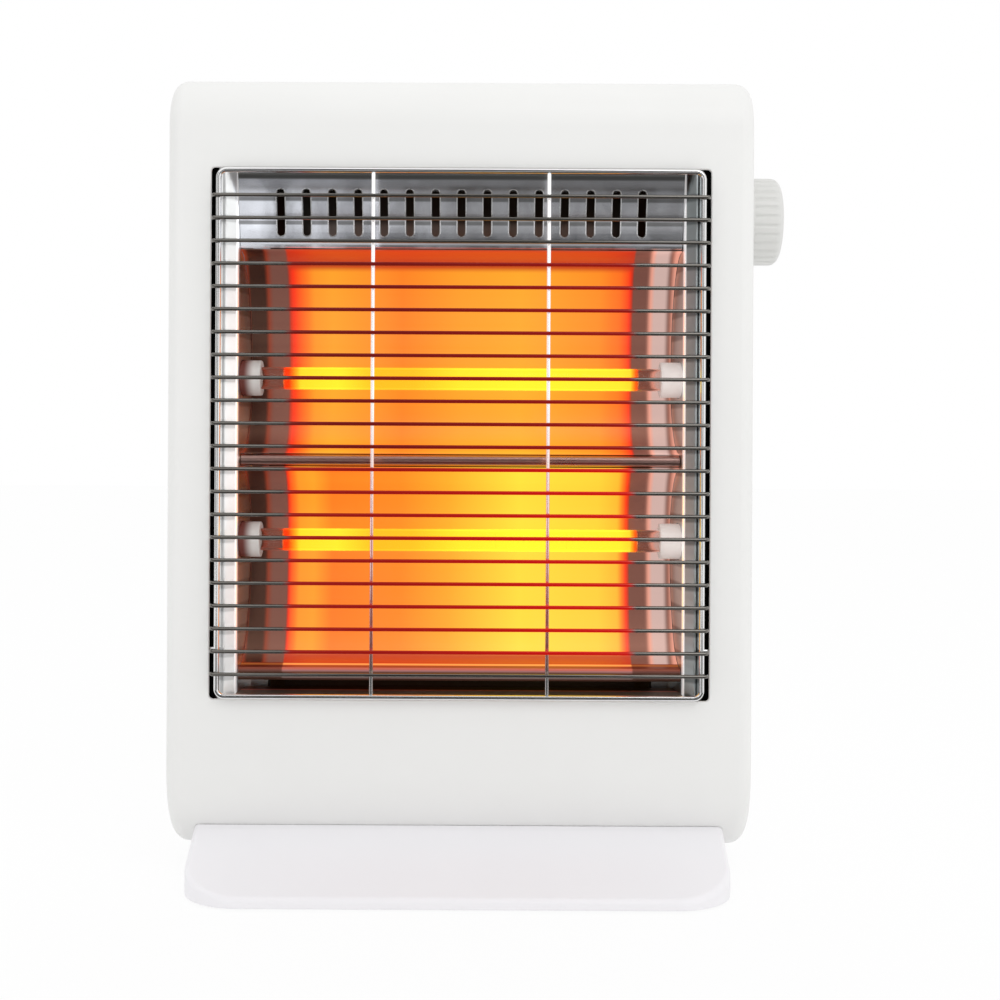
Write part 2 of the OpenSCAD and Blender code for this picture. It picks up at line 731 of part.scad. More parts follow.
// A bar with its ends bent back round the frame wire
module guard_bar() {
    r = bar_d / 2 + 0.5;
    straight = frame_x + (frame_wire_d + bar_d) / 2 + bar_gap - r;
    bend = arc([straight, r], r, -90, bar_bend - 90, 3);
    tip = bend[3] + bar_tip * [cos(bar_bend), sin(bar_bend)];
    half = concat(bend, [tip]);
    path = concat([for (p = reversed(half)) [-p.x, p.y, 0]], [for (p = half) [p.x, p.y, 0]]);
    tube(path, bar_d, [0, 0, 1]);
}

module guard_bars() {
    color(bright_wire) from_middle() for (i = [1:bar_count])
        translate([0, bar_y, window_mid - frame_half_h + i * bar_pitch]) guard_bar();
}

module guard_uprights() {
    half = frame_half_h - frame_wire_d / 2 - bar_gap;
    color(bright_wire) from_middle() for (side = [-1, 1])
        translate([side * upright_x, upright_y, window_mid]) bar_z(upright_d, -half, half);
}

// The closed frame wire, with a hook behind the casing at four places
module guard_frame() {
    x = frame_x - frame_r;
    z = frame_half_h - frame_r;
    color(bright_wire) from_middle() translate([0, frame_y, 0]) {
        translate([0, 0, window_mid]) for (turn = [0, 180]) rotate([0, turn, 0]) {
            translate([0, 0, frame_half_h]) bar_x(frame_wire_d, -x, x);
            translate([frame_x, 0, 0]) bar_z(frame_wire_d, -z, z);
            for (flip = [0, 1]) mirror([flip, 0, 0]) translate([x, 0, z]) rotate([90, 0, 0])
                rotate_extrude(angle = 90) translate([frame_r, 0]) circle(d = frame_wire_d);
        }
        both_sides() for (hz = hook_z) translate([frame_x, 0, hz]) {
            bar_y(hook_d, 0, hook_y - frame_y);
            translate([0, hook_y - frame_y, 0]) bar_x(hook_d - 0.2, -hook_d / 2 + 0.2, hook_l);
        }
    }
}

// ---------- Reflectors and their frame ----------

module side_plate() {
    path = [
        [flange_x, flange_y], [strip_out_x, flange_y],
        [strip_out_x - 1.2, flange_y - strip_rise], [strip_in_x, strip_in_y],
        [plate_x(rear_flange_y), rear_flange_y],
        [plate_x(rear_flange_y) - rear_flange, rear_flange_y]];
    difference() {
        translate([0, 0, window_bottom - plate_tuck])
            linear_extrude(window_h + 2 * plate_tuck) polygon(sheet(path, plate_t));
        for (z = [lower_lamp_z, upper_lamp_z])
            translate([0, lamp_y, z]) bar_x(cap_d + 1, cap_x - 9, cap_x + 9);
        at_plate_screws() bar_y(screw_d + 2 * screw_fit, flange_y - 5, flange_y + 5);
        for (z = shield_screw_z) translate([shield_screw_x, 0, z])
            bar_y(screw_d + 2 * screw_fit, rear_flange_y - 5, rear_flange_y + 5);
    }
}

module side_plate_right() color(zinc) from_middle() side_plate();

module side_plate_left() color(zinc) from_middle() mirror([1, 0, 0]) side_plate();

module plate_screws() {
    color(zinc) from_middle() both_sides() at_plate_screws()
        translate([0, flange_y + plate_t / 2 + eps, 0]) rotate([-90, 0, 0])
            screw(screw_d, flange_y - front_y - 2.4, screw_head_d, screw_head_h);
}

// The space between the side plates
module between_plates() {
    gap = plate_t / 2 + fit;
    y0 = front_y;
    x0 = plate_x(strip_in_y) - gap;
    x1 = plate_x(rear_flange_y) - gap;
    linear_extrude(casing_top) polygon([
        [-x0, y0], [x0, y0], [x0, strip_in_y], [x1, rear_flange_y],
        [-x1, rear_flange_y], [-x0, strip_in_y]]);
}

module sheet_between_plates(path, t)
    intersection() {
        along_x(-casing_w / 2, casing_w / 2) polygon(sheet(path, t));
        between_plates();
    }

// Half a trough: from the deepest line at lamp_z to a lip h away
function trough_half(lamp_z, h, lip_y) = [
    for (i = [0:14]) let (a = 90 * i / 14)
        [lip_y + (trough_back_y - lip_y) * cos(a), lamp_z + (h + reflector_t / 2) * sin(a)]];

module upper_reflector() {
    near = trough_half(upper_lamp_z, -upper_near + reflector_t, trough_lip_y + near_lip);
    far = trough_half(upper_lamp_z, upper_trough_top - upper_lamp_z, trough_lip_y);
    color(warm_mirror) from_middle() sheet_between_plates(
        concat(reversed([for (i = [1:14]) far[i]]), near), reflector_t);
}

module lower_reflector() {
    near = trough_half(lower_lamp_z, lower_near - reflector_t, trough_lip_y + near_lip);
    far = trough_half(
        lower_lamp_z, lower_trough_bottom - lower_lamp_z - reflector_t, trough_lip_y);
    rim_z = lower_trough_bottom - lip_drop;
    rim = [[trough_lip_y - 0.8, lower_trough_bottom - 0.9], [trough_lip_y - 0.8, rim_z],
        [trough_lip_y + 1, rim_z - 0.6]];
    color(warm_mirror) from_middle() sheet_between_plates(
        concat(reversed([for (i = [1:14]) near[i]]), far, rim), reflector_t);
}

module ridge_bar() {
    h = ridge_h / 2 - reflector_t - fit;
    nose = trough_lip_y + 2 + h;
    path = concat([[nose + ridge_d, ridge_z + h]],
        arc([nose, ridge_z], h, 90, 270, 8), [[nose + ridge_d, ridge_z - h]]);
    color(mirror_metal) from_middle() sheet_between_plates(path, plate_t);
}

module louvre_panel() {
    top_y = inner_front_y + fit + plate_t / 2;
    foot_z = upper_trough_top + reflector_t + fit + plate_t;
    rise = window_top - 1.5 - foot_z;
    curve = [for (i = [0:8]) let (t = i / 8)
        [top_y + (trough_lip_y - 0.4 - top_y) * (1 - pow(1 - t, 1.7)), foot_z + rise * (1 - t)]];
    path = concat([[top_y, window_top + 8]], curve, [[trough_lip_y + 1.4, foot_z]]);
    slot_z = foot_z + rise / 2 - 1.8;
    color(mirror_metal) from_middle() difference() {
        sheet_between_plates(path, plate_t);
        for (i = [0:slot_count - 1])
            translate([(i - (slot_count - 1) / 2) * slot_pitch, 0, slot_z]) {
                box([-slot_w / 2, front_y, slot_w / 2 - slot_l / 2],
                    [slot_w / 2, trough_back_y, slot_l / 2 - slot_w / 2]);
                for (s = [-1, 1]) translate([0, 0, s * (slot_l - slot_w) / 2])
                    bar_y(slot_w, front_y, trough_back_y);
            }
    }
}

module bottom_shelf() {
    front = inner_front_y + fit + plate_t / 2;
    path = [[front, window_bottom - 8], [front, window_bottom + 2],
        [front + shelf_d, window_bottom + 2], [front + shelf_d, window_bottom - 3]];
    color(zinc) from_middle() sheet_between_plates(path, plate_t);
}

module heat_shield() {
    tab_y = rear_flange_y + plate_t / 2 + fit + shield_t / 2;
    tab_x0 = plate_x(rear_flange_y) - 2;
    x1 = tab_x0 - rear_flange + 1;
    x2 = x1 - 7;
    path = [[-tab_x0, tab_y], [-x1, tab_y], [-x2, shield_y], [x2, shield_y],
        [x1, tab_y], [tab_x0, tab_y]];
    color(zinc) from_middle() difference() {
        translate([0, 0, window_bottom - plate_tuck + shield_end_in])
            linear_extrude(window_h + 2 * (plate_tuck - shield_end_in))
                polygon(sheet(path, shield_t));
        both_sides() for (z = shield_screw_z) translate([shield_screw_x, 0, z])
            bar_y(screw_d + 2 * screw_fit, tab_y - 5, tab_y + 5);
    }
}

module shield_screws() {
    seat = rear_flange_y + plate_t / 2 + fit + shield_t + eps;
    color(zinc) from_middle() both_sides() for (z = shield_screw_z)
        translate([shield_screw_x, seat, z]) rotate([-90, 0, 0])
            screw(screw_d, 3.4, screw_head_d, screw_head_h);
}

// ---------- Lamps ----------

module lamp_tube(z) {
    color(lamp_glow) from_middle() translate([0, lamp_y, z]) difference() {
        bar_x(lamp_d, -tube_half, tube_half);
        bar_x(lamp_d - 2 * lamp_wall, -tube_half - 1, tube_half + 1);
    }
}

module filament(z) {
    support_d = lamp_d - 2 * lamp_wall - 0.4;
    color(filament_glow) from_middle() translate([0, lamp_y, z]) {
        bar_x(filament_d, -glow_half, glow_half);
        bar_x(1.2, -tube_half + 0.5, tube_half - 0.5);
        for (i = [0:support_count - 1])
            let (x = glow_half * (2 * i / (support_count - 1) - 1))
            bar_x(support_d, x - 0.4, x + 0.4);
    }
}

module cap(z) {
    translate([0, lamp_y, z]) difference() {
        union() {
            bar_x(cap_d, cap_inner_x, cap_end_x);
            bar_x(cap_flange_d, cap_flange_x, cap_end_x);
        }
        bar_x(lamp_d + 0.2, cap_inner_x - 1, tube_half + 0.3);
        bar_x(1.6, cap_inner_x, cap_end_x + 1);
    }
}

module clip(z) {
    translate([cap_x, lamp_y, z]) difference() {
        rotate([0, 0, plate_taper])
            box([plate_t / 2 + fit, -9, -clip_h / 2], [plate_t / 2 + fit + 1, 15, clip_h / 2]);
        bar_x(cap_d + 0.4, -10, 10);
        box([-10, -20, -cap_d / 2 - 0.2], [10, 0, cap_d / 2 + 0.2]);
    }
}

// ---------- Knob and switch ----------

module at_knob_axis() translate([0, knob_y, knob_z]) children();

module d_bar(d, flat, x0, x1)
    difference() {
        bar_x(d, x0, x1);
        box([x0 - 1, -d, flat], [x1 + 1, d, d]);
    }

module knob() {
    r = knob_d / 2;
    outline = concat([[0, 0], [r, 0]],
        arc([r - knob_rim_r, knob_l - knob_rim_r], knob_rim_r, 0, 90, 6), [[0, knob_l]]);
    color(knob_white) from_middle() at_knob_axis() translate([knob_x, 0, 0]) difference() {
        rotate([0, 90, 0]) rotate_extrude($fn = 96) polygon(outline);
        rotate([0, 90, 0]) rotate_extrude() translate([shaft_d / 2 + 3.2, -1])
            square([r - knob_wall - shaft_d / 2 - 3.2, knob_l - knob_wall + 1]);
        d_bar(shaft_d + 2 * running, shaft_flat + running, -1, knob_bore_l);
        bar_x(2 * shaft_d + 1, -1, 2);
        for (i = [0:flute_count - 1]) rotate([360 * (i + 0.5) / flute_count, 0, 0])
            translate([0, 0, r + flute_r * 0.35]) bar_x(2 * flute_r, 3.5, knob_l + 1);
    }
}

module switch_shaft() {
    end = knob_x + knob_bore_l - 0.3;
    color(zinc) from_middle() at_knob_axis() {
        bar_x(shaft_d, shaft_x0, casing_w / 2);
        d_bar(shaft_d, shaft_flat, casing_w / 2 - eps, end);
    }
}

module rotary_switch() {
    color(dark_plastic) from_middle() at_knob_axis() difference() {
        union() {
            bar_x(switch_d, switch_x, switch_x + switch_l);
            bar_x(bushing_d, switch_x, casing_in_x - 0.6);
        }
        bar_x(shaft_d + 2 * running, shaft_x0 - 0.3, casing_w / 2);
    }
}

module switch_terminals() {
    color(brass) from_middle() at_knob_axis() for (i = [-1:1])
        box([tab_x, -3.1, i * tab_pitch - 0.4], [switch_x - eps, 3.1, i * tab_pitch + 0.4]);
}

module switch_bracket() {
    color(zinc) from_middle() at_knob_axis() difference() {
        box([bracket_x, -9.5, -bracket_screw - 6],
            [bracket_x + bracket_t, 9.5, bracket_screw + 6]);
        bar_x(bushing_d + 0.4, bracket_x - 1, casing_in_x);
        for (s = [-1, 1]) translate([0, 0, s * bracket_screw])
            bar_x(screw_d + 2 * screw_fit, bracket_x - 1, casing_in_x);
    }
}

module bracket_screws() {
    color(zinc) from_middle() at_knob_axis() for (s = [-1, 1])
        translate([bracket_x - eps, 0, s * bracket_screw]) rotate([0, -90, 0])
            screw(screw_d, 4.4, screw_head_d, screw_head_h);
}

// ---------- Electrical pieces ----------

module thermal_cutout() {
    y0 = shield_y + shield_t / 2 + fit;
    color(dark_plastic) from_middle() translate([cutout_x, 0, cutout_z]) {
        bar_y(16, y0, y0 + 9);
        box([-12, y0, -5], [12, y0 + 1, 5]);
        for (s = [-1, 1]) box([s * 10.9 - 3.1, y0 + 6.2, -2], [s * 10.9 + 3.1, y0 + 7, 2]);
    }
}

module terminal_block() {
    y1 = back_y - rear_wall - fit;
    color(ceramic) from_middle() translate([block_x, 0, block_z]) difference() {
        box([-18, y1 - 14, -7], [18, y1, 7]);
        for (s = [-1, 1]) translate([s * 10, 0, 0]) bar_y(4.4, y1 - 15, y1 - 6);
        for (s = [-1, 1]) translate([s * 10, y1 - 7, 0]) bar_z(3.4, 2, 8);
    }
}

module cord_gland() {
    y1 = back_y + 2.6;
    color(dark_plastic) from_middle() translate([gland_x, 0, gland_z]) difference() {
        union() {
            bar_y(gland_bore + 5.8, back_y - rear_wall - 7, y1);
            bar_y(gland_flange_d, back_y + 0.1, y1);
            bar_y(gland_flange_d - 2, back_y - rear_wall - 4, back_y - rear_wall - 0.2);
        }
        bar_y(gland_bore, back_y - 30, y1 + 1);
    }
}

// ---------- Tilt switch ----------

module at_tilt() translate([0, tilt_y, 0]) children();

module tilt_housing() {
    color(dark_plastic) from_middle() at_tilt() difference() {
        bar_z(housing_d, housing_z, housing_top);
        bar_z(plunger_d + 2 * running, housing_z - 1, housing_top);
        bar_z(collar_d + 1.2, housing_z + 7, housing_top + 1);
    }
}

module tilt_cap() {
    wall_y = micro_w / 2 + fit;
    color(dark_plastic) from_middle() at_tilt() difference() {
        union() {
            bar_z(housing_d, tilt_cap_z, tilt_cap_z + tilt_cap_h);
            box([0, wall_y, tilt_cap_z], [micro_x0 + micro_l, wall_y + 2.4, micro_z + micro_h]);
        }
        bar_z(plunger_d + 2 * running, tilt_cap_z - 1, tilt_cap_z + tilt_cap_h + 1);
        bar_z(plunger_d + 3 * fit, tilt_cap_z + tilt_cap_h, micro_z + micro_h + 1);
    }
}

module tilt_plunger() {
    color(knob_white) from_middle() at_tilt() {
        bar_z(plunger_foot_d, 0, 3);
        bar_z(plunger_d, 0, plunger_shoulder);
        bar_z(collar_d, collar_z, collar_z + collar_h);
        bar_z(3, plunger_shoulder - 1, plunger_top);
    }
}

module tilt_spring() {
    color(zinc) from_middle() at_tilt() difference() {
        bar_z(collar_d - 0.2, collar_z + collar_h + fit, tilt_cap_z - fit);
        bar_z(plunger_d + 0.8, collar_z, tilt_cap_z);
    }
}

module micro_switch() {
    color(dark_plastic) from_middle() at_tilt() difference() {
        union() {
            box([micro_x0, -micro_w / 2, micro_z], [micro_x0 + micro_l, micro_w / 2, micro_z + micro_h]);
            for (s = [-1, 1]) box([lever_arm - 2, s * 2.65 - 0.6, pin_z - 1.6],
                [lever_arm + 2, s * 2.65 + 0.6, micro_z + 1]);
            for (x = [micro_x0 - 3, micro_x0 + micro_l - 1])
                box([x, -1.6, micro_z + 4.6], [x + 4, 1.6, micro_z + 5.4]);
        }
        translate([lever_arm, 0, pin_z]) bar_y(pin_d + 2 * running, -9, 9);
    }
}

module micro_lever() {
    color(bright_wire) from_middle() at_tilt() translate([lever_arm, 0, pin_z]) difference() {
        union() {
            box([-lever_arm - 1, -1.8, -lever_t / 2], [0, 1.8, lever_t / 2]);
            bar_y(pin_d + 1, -1.8, 1.8);
        }
        bar_y(pin_d + 2 * running, -9, 9);
    }
}

module micro_pin() {
    color(zinc) from_middle() at_tilt() translate([lever_arm, 0, pin_z])
        bar_y(pin_d, -micro_w / 2, micro_w / 2);
}

// ---------- Leads ----------

module lead_high() color(red_cover) from_middle() lead(high_route);

module lead_low() color(red_cover) from_middle() lead(low_route);

module lead_lamp_link() {
    color(blue_cover) from_middle() {
        lead(link_upper_route);
        lead(link_lower_route);
    }
}

module lead_splice() {
    color(zinc) from_middle() translate(splice) bar_z(5, -6, 6);
}

module lead_return() color(blue_cover) from_middle() lead(return_route);

module lead_neutral() color(blue_cover) from_middle() lead(neutral_route);

module lead_live() color(black_cover) from_middle() lead(live_route);

module lead_common() color(black_cover) from_middle() lead(common_route);

// ---------- Nodes ----------

module foot_front_left() foot(-foot_x, foot_y[0]);
module foot_front_right() foot(foot_x, foot_y[0]);
module foot_rear_left() foot(-foot_x, foot_y[1]);
module foot_rear_right() foot(foot_x, foot_y[1]);
module upper_lamp_tube() lamp_tube(upper_lamp_z);
module lower_lamp_tube() lamp_tube(lower_lamp_z);
module upper_filament() filament(upper_lamp_z);
module lower_filament() filament(lower_lamp_z);
module cap_upper_right() color(ceramic) from_middle() cap(upper_lamp_z);
module cap_lower_right() color(ceramic) from_middle() cap(lower_lamp_z);
module cap_upper_left() color(ceramic) from_middle() mirror([1, 0, 0]) cap(upper_lamp_z);
module cap_lower_left() color(ceramic) from_middle() mirror([1, 0, 0]) cap(lower_lamp_z);
module clip_upper_right() color(zinc) from_middle() clip(upper_lamp_z);
module clip_lower_right() color(zinc) from_middle() clip(lower_lamp_z);
module clip_upper_left() color(zinc) from_middle() mirror([1, 0, 0]) clip(upper_lamp_z);
module clip_lower_left() color(zinc) from_middle() mirror([1, 0, 0]) clip(lower_lamp_z);

front_casing();
rear_casing();
casing_screws();
base_shell();
base_plate();
base_plate_screws();
base_screws();
foot_front_left();
foot_front_right();
foot_rear_left();
foot_rear_right();
guard_bars();
guard_uprights();
guard_frame();
side_plate_left();
side_plate_right();
plate_screws();
louvre_panel();
bottom_shelf();
upper_reflector();
lower_reflector();
ridge_bar();
heat_shield();
shield_screws();
upper_lamp_tube();
lower_lamp_tube();
upper_filament();
lower_filament();
cap_upper_left();
cap_upper_right();
cap_lower_left();
cap_lower_right();
clip_upper_left();
clip_upper_right();
clip_lower_left();
clip_lower_right();
knob();
switch_shaft();
rotary_switch();
switch_terminals();
switch_bracket();
bracket_screws();
thermal_cutout();
terminal_block();
cord_gland();
tilt_housing();
tilt_cap();
tilt_plunger();
tilt_spring();
micro_switch();
micro_lever();
micro_pin();
lead_high();
lead_low();
lead_lamp_link();
lead_splice();
lead_return();
lead_neutral();
lead_live();
lead_common();
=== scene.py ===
"""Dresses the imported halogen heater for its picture.

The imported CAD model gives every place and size. The pieces that show are modelled again
here with rounded edges, bends and small detail, each in the place of its CAD node, and
every piece gets its finish. Sizes are in millimetres, measured from the heater's middle
on the floor: X to the right, Y to the back and Z up.
"""

from __future__ import annotations

import logging
import math
from dataclasses import dataclass, field
from enum import Enum
from typing import Callable, Mapping, Sequence, Union

import bmesh
import bpy
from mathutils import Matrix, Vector

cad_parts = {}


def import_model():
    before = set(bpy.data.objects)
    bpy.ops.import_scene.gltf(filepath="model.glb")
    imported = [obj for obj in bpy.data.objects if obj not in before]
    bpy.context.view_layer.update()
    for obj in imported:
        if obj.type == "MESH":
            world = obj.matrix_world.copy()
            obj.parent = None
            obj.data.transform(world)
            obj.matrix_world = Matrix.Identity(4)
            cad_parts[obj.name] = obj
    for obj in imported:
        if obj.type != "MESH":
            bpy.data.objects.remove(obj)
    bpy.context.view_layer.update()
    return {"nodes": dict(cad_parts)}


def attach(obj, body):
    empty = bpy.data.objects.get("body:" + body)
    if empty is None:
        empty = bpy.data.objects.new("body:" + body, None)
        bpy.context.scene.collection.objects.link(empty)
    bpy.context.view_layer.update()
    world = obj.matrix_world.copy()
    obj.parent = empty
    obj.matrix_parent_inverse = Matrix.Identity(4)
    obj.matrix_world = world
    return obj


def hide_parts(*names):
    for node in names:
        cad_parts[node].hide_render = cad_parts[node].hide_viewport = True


LOG = logging.getLogger("heater")
MM = 0.001
MIDDLE_X = -10.25

LAMP_Y = -15.0
UPPER_LAMP = 265.4
LOWER_LAMP = 178.7
KNOB_Y = 15.0
KNOB_Z = 354.7
WINDOW_TOP = 375.5
LOWER_LIP = 111.3
RIDGE = 221.55
UPPER_LIP = 333.7

Place = tuple[float, float, float]
Colour = tuple[float, float, float]
Value = Union[float, Colour, Sequence[float], bpy.types.NodeSocket]


def spot(x: float, y: float, z: float) -> Vector:
    """Turns a place in millimetres from the heater's middle into scene metres.

    Args:
        x: distance to the right of the middle.
        y: distance behind the middle of the base.
        z: height above the floor.

    Returns:
        The place in metres, in the frame of the CAD model.
    """
    return Vector((MIDDLE_X + x, y, z)) * MM


def back_to_mm(place: Vector) -> Vector:
    """Turns scene metres into millimetres from the heater's middle."""
    return place / MM - Vector((MIDDLE_X, 0, 0))


def deselect() -> None:
    """Leaves edit mode and deselects every object."""
    if bpy.context.object and bpy.context.object.mode != "OBJECT":
        bpy.ops.object.mode_set(mode="OBJECT")
    bpy.ops.object.select_all(action="DESELECT")


# ---------- The bench ----------


class Pick(Enum):
    """What a selection is made of."""

    FACE = "FACE"
    EDGE = "EDGE"
    POINT = "VERT"


class Axis(Enum):
    """The direction that a round primitive points in, as its rotation."""

    X = (0.0, math.pi / 2, 0.0)
    Y = (math.pi / 2, 0.0, 0.0)
    Z = (0.0, 0.0, 0.0)


class Workpiece:
    """A mesh on the bench, shaped with Blender's own operators."""

    def __init__(self, name: str, place_in_mesh: bool = True) -> None:
        """Takes up the object that an operator has just added.

        Args:
            name: the piece's name.
            place_in_mesh: whether its place goes into its mesh at once.
        """
        self.item = bpy.context.object
        self.item.name = self.item.data.name = name
        if place_in_mesh:
            bpy.ops.object.transform_apply(location=True, rotation=True, scale=True)

    @classmethod
    def block(cls, name: str, low: Place, high: Place) -> "Workpiece":
        """Adds a block between two corners."""
        deselect()
        middle = [(a + b) / 2 for a, b in zip(low, high)]
        bpy.ops.mesh.primitive_cube_add(
            size=1, location=spot(*middle), scale=[(b - a) * MM for a, b in zip(low, high)]
        )
        return cls(name)

    @classmethod
    def rod(
        cls, name: str, centre: Place, d: float, length: float, axis: Axis, sides: int = 32
    ) -> "Workpiece":
        """Adds a closed round bar."""
        deselect()
        bpy.ops.mesh.primitive_cylinder_add(
            vertices=sides,
            radius=d / 2 * MM,
            depth=length * MM,
            location=spot(*centre),
            rotation=axis.value,
        )
        return cls(name)

    @classmethod
    def ring(cls, name: str, centre: Place, d: float, axis: Axis, sides: int = 12) -> "Workpiece":
        """Adds an open circle, to be drawn out into a wire or a tube."""
        deselect()
        bpy.ops.mesh.primitive_circle_add(
            vertices=sides, radius=d / 2 * MM, location=spot(*centre), rotation=axis.value
        )
        return cls(name)

    @classmethod
    def edge(cls, name: str, start: Place, end: Place) -> "Workpiece":
        """Adds one straight edge, to be drawn out into sheet metal.

        Args:
            name: the piece's name.
            start: one end of the edge.
            end: the other end.

        Returns:
            The piece, in edit mode, with its edge selected.
        """
        deselect()
        bpy.ops.mesh.primitive_plane_add(size=1, location=spot(0, 0, 0))
        piece = cls(name)
        piece.select(Pick.POINT, lambda c, n: c.y > 0)
        piece.delete(Pick.POINT)
        half = 0.5 / MM
        for place, side in ((start, -half), (end, half)):
            piece.select(Pick.POINT, lambda c, n, side=side: math.hypot(c.x - side, c.y + half) < 1)
            bpy.ops.transform.translate(value=spot(*place) - spot(side, -half, 0))
        piece.select_all()
        return piece

    def edit(self, mode: Pick = Pick.FACE) -> None:
        """Opens the piece in edit mode."""
        if self.item.mode != "EDIT":
            deselect()
            self.item.select_set(True)
            bpy.context.view_layer.objects.active = self.item
            bpy.ops.object.mode_set(mode="EDIT")
        bpy.ops.mesh.select_mode(type=mode.value)

    def rest(self) -> None:
        """Goes back to object mode with only this piece selected."""
        deselect()
        self.item.select_set(True)
        bpy.context.view_layer.objects.active = self.item

    def select(self, kind: Pick, test: Callable[[Vector, Vector], bool]) -> None:
        """Selects by place and direction.

        Args:
            kind: faces, edges or points.
            test: takes the part's place in millimetres and its normal, or an edge's
                direction, and says whether it is selected.
        """
        self.edit(kind)
        bpy.ops.mesh.select_all(action="DESELECT")
        mesh = bmesh.from_edit_mesh(self.item.data)
        if kind is Pick.FACE:
            found = [(f, f.calc_center_median(), f.normal) for f in mesh.faces]
        elif kind is Pick.EDGE:
            found = [
                (e, (e.verts[0].co + e.verts[1].co) / 2, (e.verts[1].co - e.verts[0].co).normalized())
                for e in mesh.edges
            ]
        else:
            found = [(v, v.co, v.normal) for v in mesh.verts]
        for part, place, direction in found:
            if test(back_to_mm(place), direction):
                part.select_set(True)
        mesh.select_flush_mode()
        bmesh.update_edit_mesh(self.item.data)

    def select_all(self) -> None:
        """Selects the whole piece."""
        self.edit(Pick.EDGE)
        bpy.ops.mesh.select_all(action="SELECT")

    def select_corners(
        self, degrees: float, test: Callable[[Vector, Vector], bool] = lambda c, n: True
    ) -> None:
        """Selects the edges where two faces meet at more than an angle.

        Args:
            degrees: the least angle between the faces.
            test: narrows the choice, as in select.
        """
        self.edit(Pick.EDGE)
        bpy.ops.mesh.select_all(action="DESELECT")
        mesh = bmesh.from_edit_mesh(self.item.data)
        for e in mesh.edges:
            if len(e.link_faces) == 2 and e.calc_face_angle(0) > math.radians(degrees):
                along = (e.verts[1].co - e.verts[0].co).normalized()
                if test(back_to_mm((e.verts[0].co + e.verts[1].co) / 2), along):
                    e.select_set(True)
        bmesh.update_edit_mesh(self.item.data)

    def extrude(self, x: float = 0, y: float = 0, z: float = 0) -> None:
        """Draws the selection out by a distance."""
        bpy.ops.mesh.extrude_region_move(TRANSFORM_OT_translate={"value": (x * MM, y * MM, z * MM)})

    def move(self, x: float = 0, y: float = 0, z: float = 0) -> None:
        """Moves the selection."""
        bpy.ops.transform.translate(value=(x * MM, y * MM, z * MM))

    def scale(self, x: float, y: float, z: float, about: Place) -> None:
        """Scales the selection about a place."""
        bpy.ops.transform.resize(value=(x, y, z), center_override=spot(*about))

    def spin(self, centre: Place, axis: Place, degrees: float, steps: int) -> None:
        """Draws the selection round an axis, by the right-hand rule."""
        bpy.ops.mesh.spin(steps=steps, angle=-math.radians(degrees), center=spot(*centre), axis=axis)

    def bevel(self, width: float, steps: int = 3) -> None:
        """Rounds the selected edges."""
        bpy.ops.mesh.bevel(
            offset_type="OFFSET", offset=width * MM, segments=steps, affect="EDGES", clamp_overlap=False
        )

    def inset(self, width: float, depth: float = 0) -> None:
        """Insets the selected faces."""
        bpy.ops.mesh.inset(thickness=width * MM, depth=depth * MM)

    def delete(self, kind: Pick) -> None:
        """Deletes the selection."""
        bpy.ops.mesh.delete(type=kind.value)

    def cut(self, at: Place, normal: Place, drop: bool = True, cap: bool = False) -> None:
        """Cuts the whole piece with a plane.

        Args:
            at: a place on the plane.
            normal: the plane's normal.
            drop: whether what lies on the normal's side goes.
            cap: whether the cut is closed with a face.
        """
        self.select_all()
        bpy.ops.mesh.bisect(
            plane_co=spot(*at),
            plane_no=Vector(normal).normalized(),
            use_fill=cap,
            clear_outer=drop,
            threshold=1e-7,
        )

    def close(self) -> None:
        """Closes every open end with a face."""
        self.select_all()
        bpy.ops.mesh.fill_holes(sides=0)

    def mend(self, within: float = 0.002) -> None:
        """Merges doubled points and turns every face outwards."""
        self.select_all()
        bpy.ops.mesh.remove_doubles(threshold=within * MM)
        bpy.ops.mesh.normals_make_consistent(inside=False)

    def both_sides(self) -> None:
        """Copies the piece to the other side of the heater's middle."""
        self.select_all()
        bpy.ops.mesh.duplicate()
        bpy.ops.transform.resize(value=(-1, 1, 1), center_override=spot(0, 0, 0))
        bpy.ops.mesh.flip_normals()

    def refine(self, kind: str, **settings: object) -> None:
        """Adds a modifier and applies it.

        Args:
            kind: the modifier's type.
            **settings: its settings.
        """
        self.rest()
        bpy.ops.object.modifier_add(type=kind)
        modifier = self.item.modifiers[-1]
        for name, value in settings.items():
            setattr(modifier, name, value)
        bpy.ops.object.modifier_apply(modifier=modifier.name)

    def thicken(self, wall: float, offset: float = -1) -> None:
        """Gives a sheet its wall."""
        self.refine("SOLIDIFY", thickness=wall * MM, offset=offset, use_even_offset=True)

    def repeat(self, count: int, x: float = 0, y: float = 0, z: float = 0) -> None:
        """Copies the piece in a row."""
        self.refine(
            "ARRAY",
            count=count,
            use_relative_offset=False,
            use_constant_offset=True,
            constant_offset_displace=(x * MM, y * MM, z * MM),
        )

    def combine(self, tool: "Workpiece", how: str = "DIFFERENCE") -> None:
        """Cuts the piece with another, adds it or keeps what they share.

        Args:
            tool: the other piece, which is used up.
            how: DIFFERENCE, UNION or INTERSECT.
        """
        tool.rest()
        self.refine("BOOLEAN", object=tool.item, operation=how, solver="EXACT")
        bpy.data.objects.remove(tool.item)

    def join(self, *others: "Workpiece") -> None:
        """Makes other pieces part of this one."""
        self.rest()
        for other in others:
            other.item.select_set(True)
        bpy.ops.object.join()

    def copy(self, name: str) -> "Workpiece":
        """Makes a copy with its own mesh."""
        self.rest()
        bpy.ops.object.duplicate()
        return Workpiece(name)

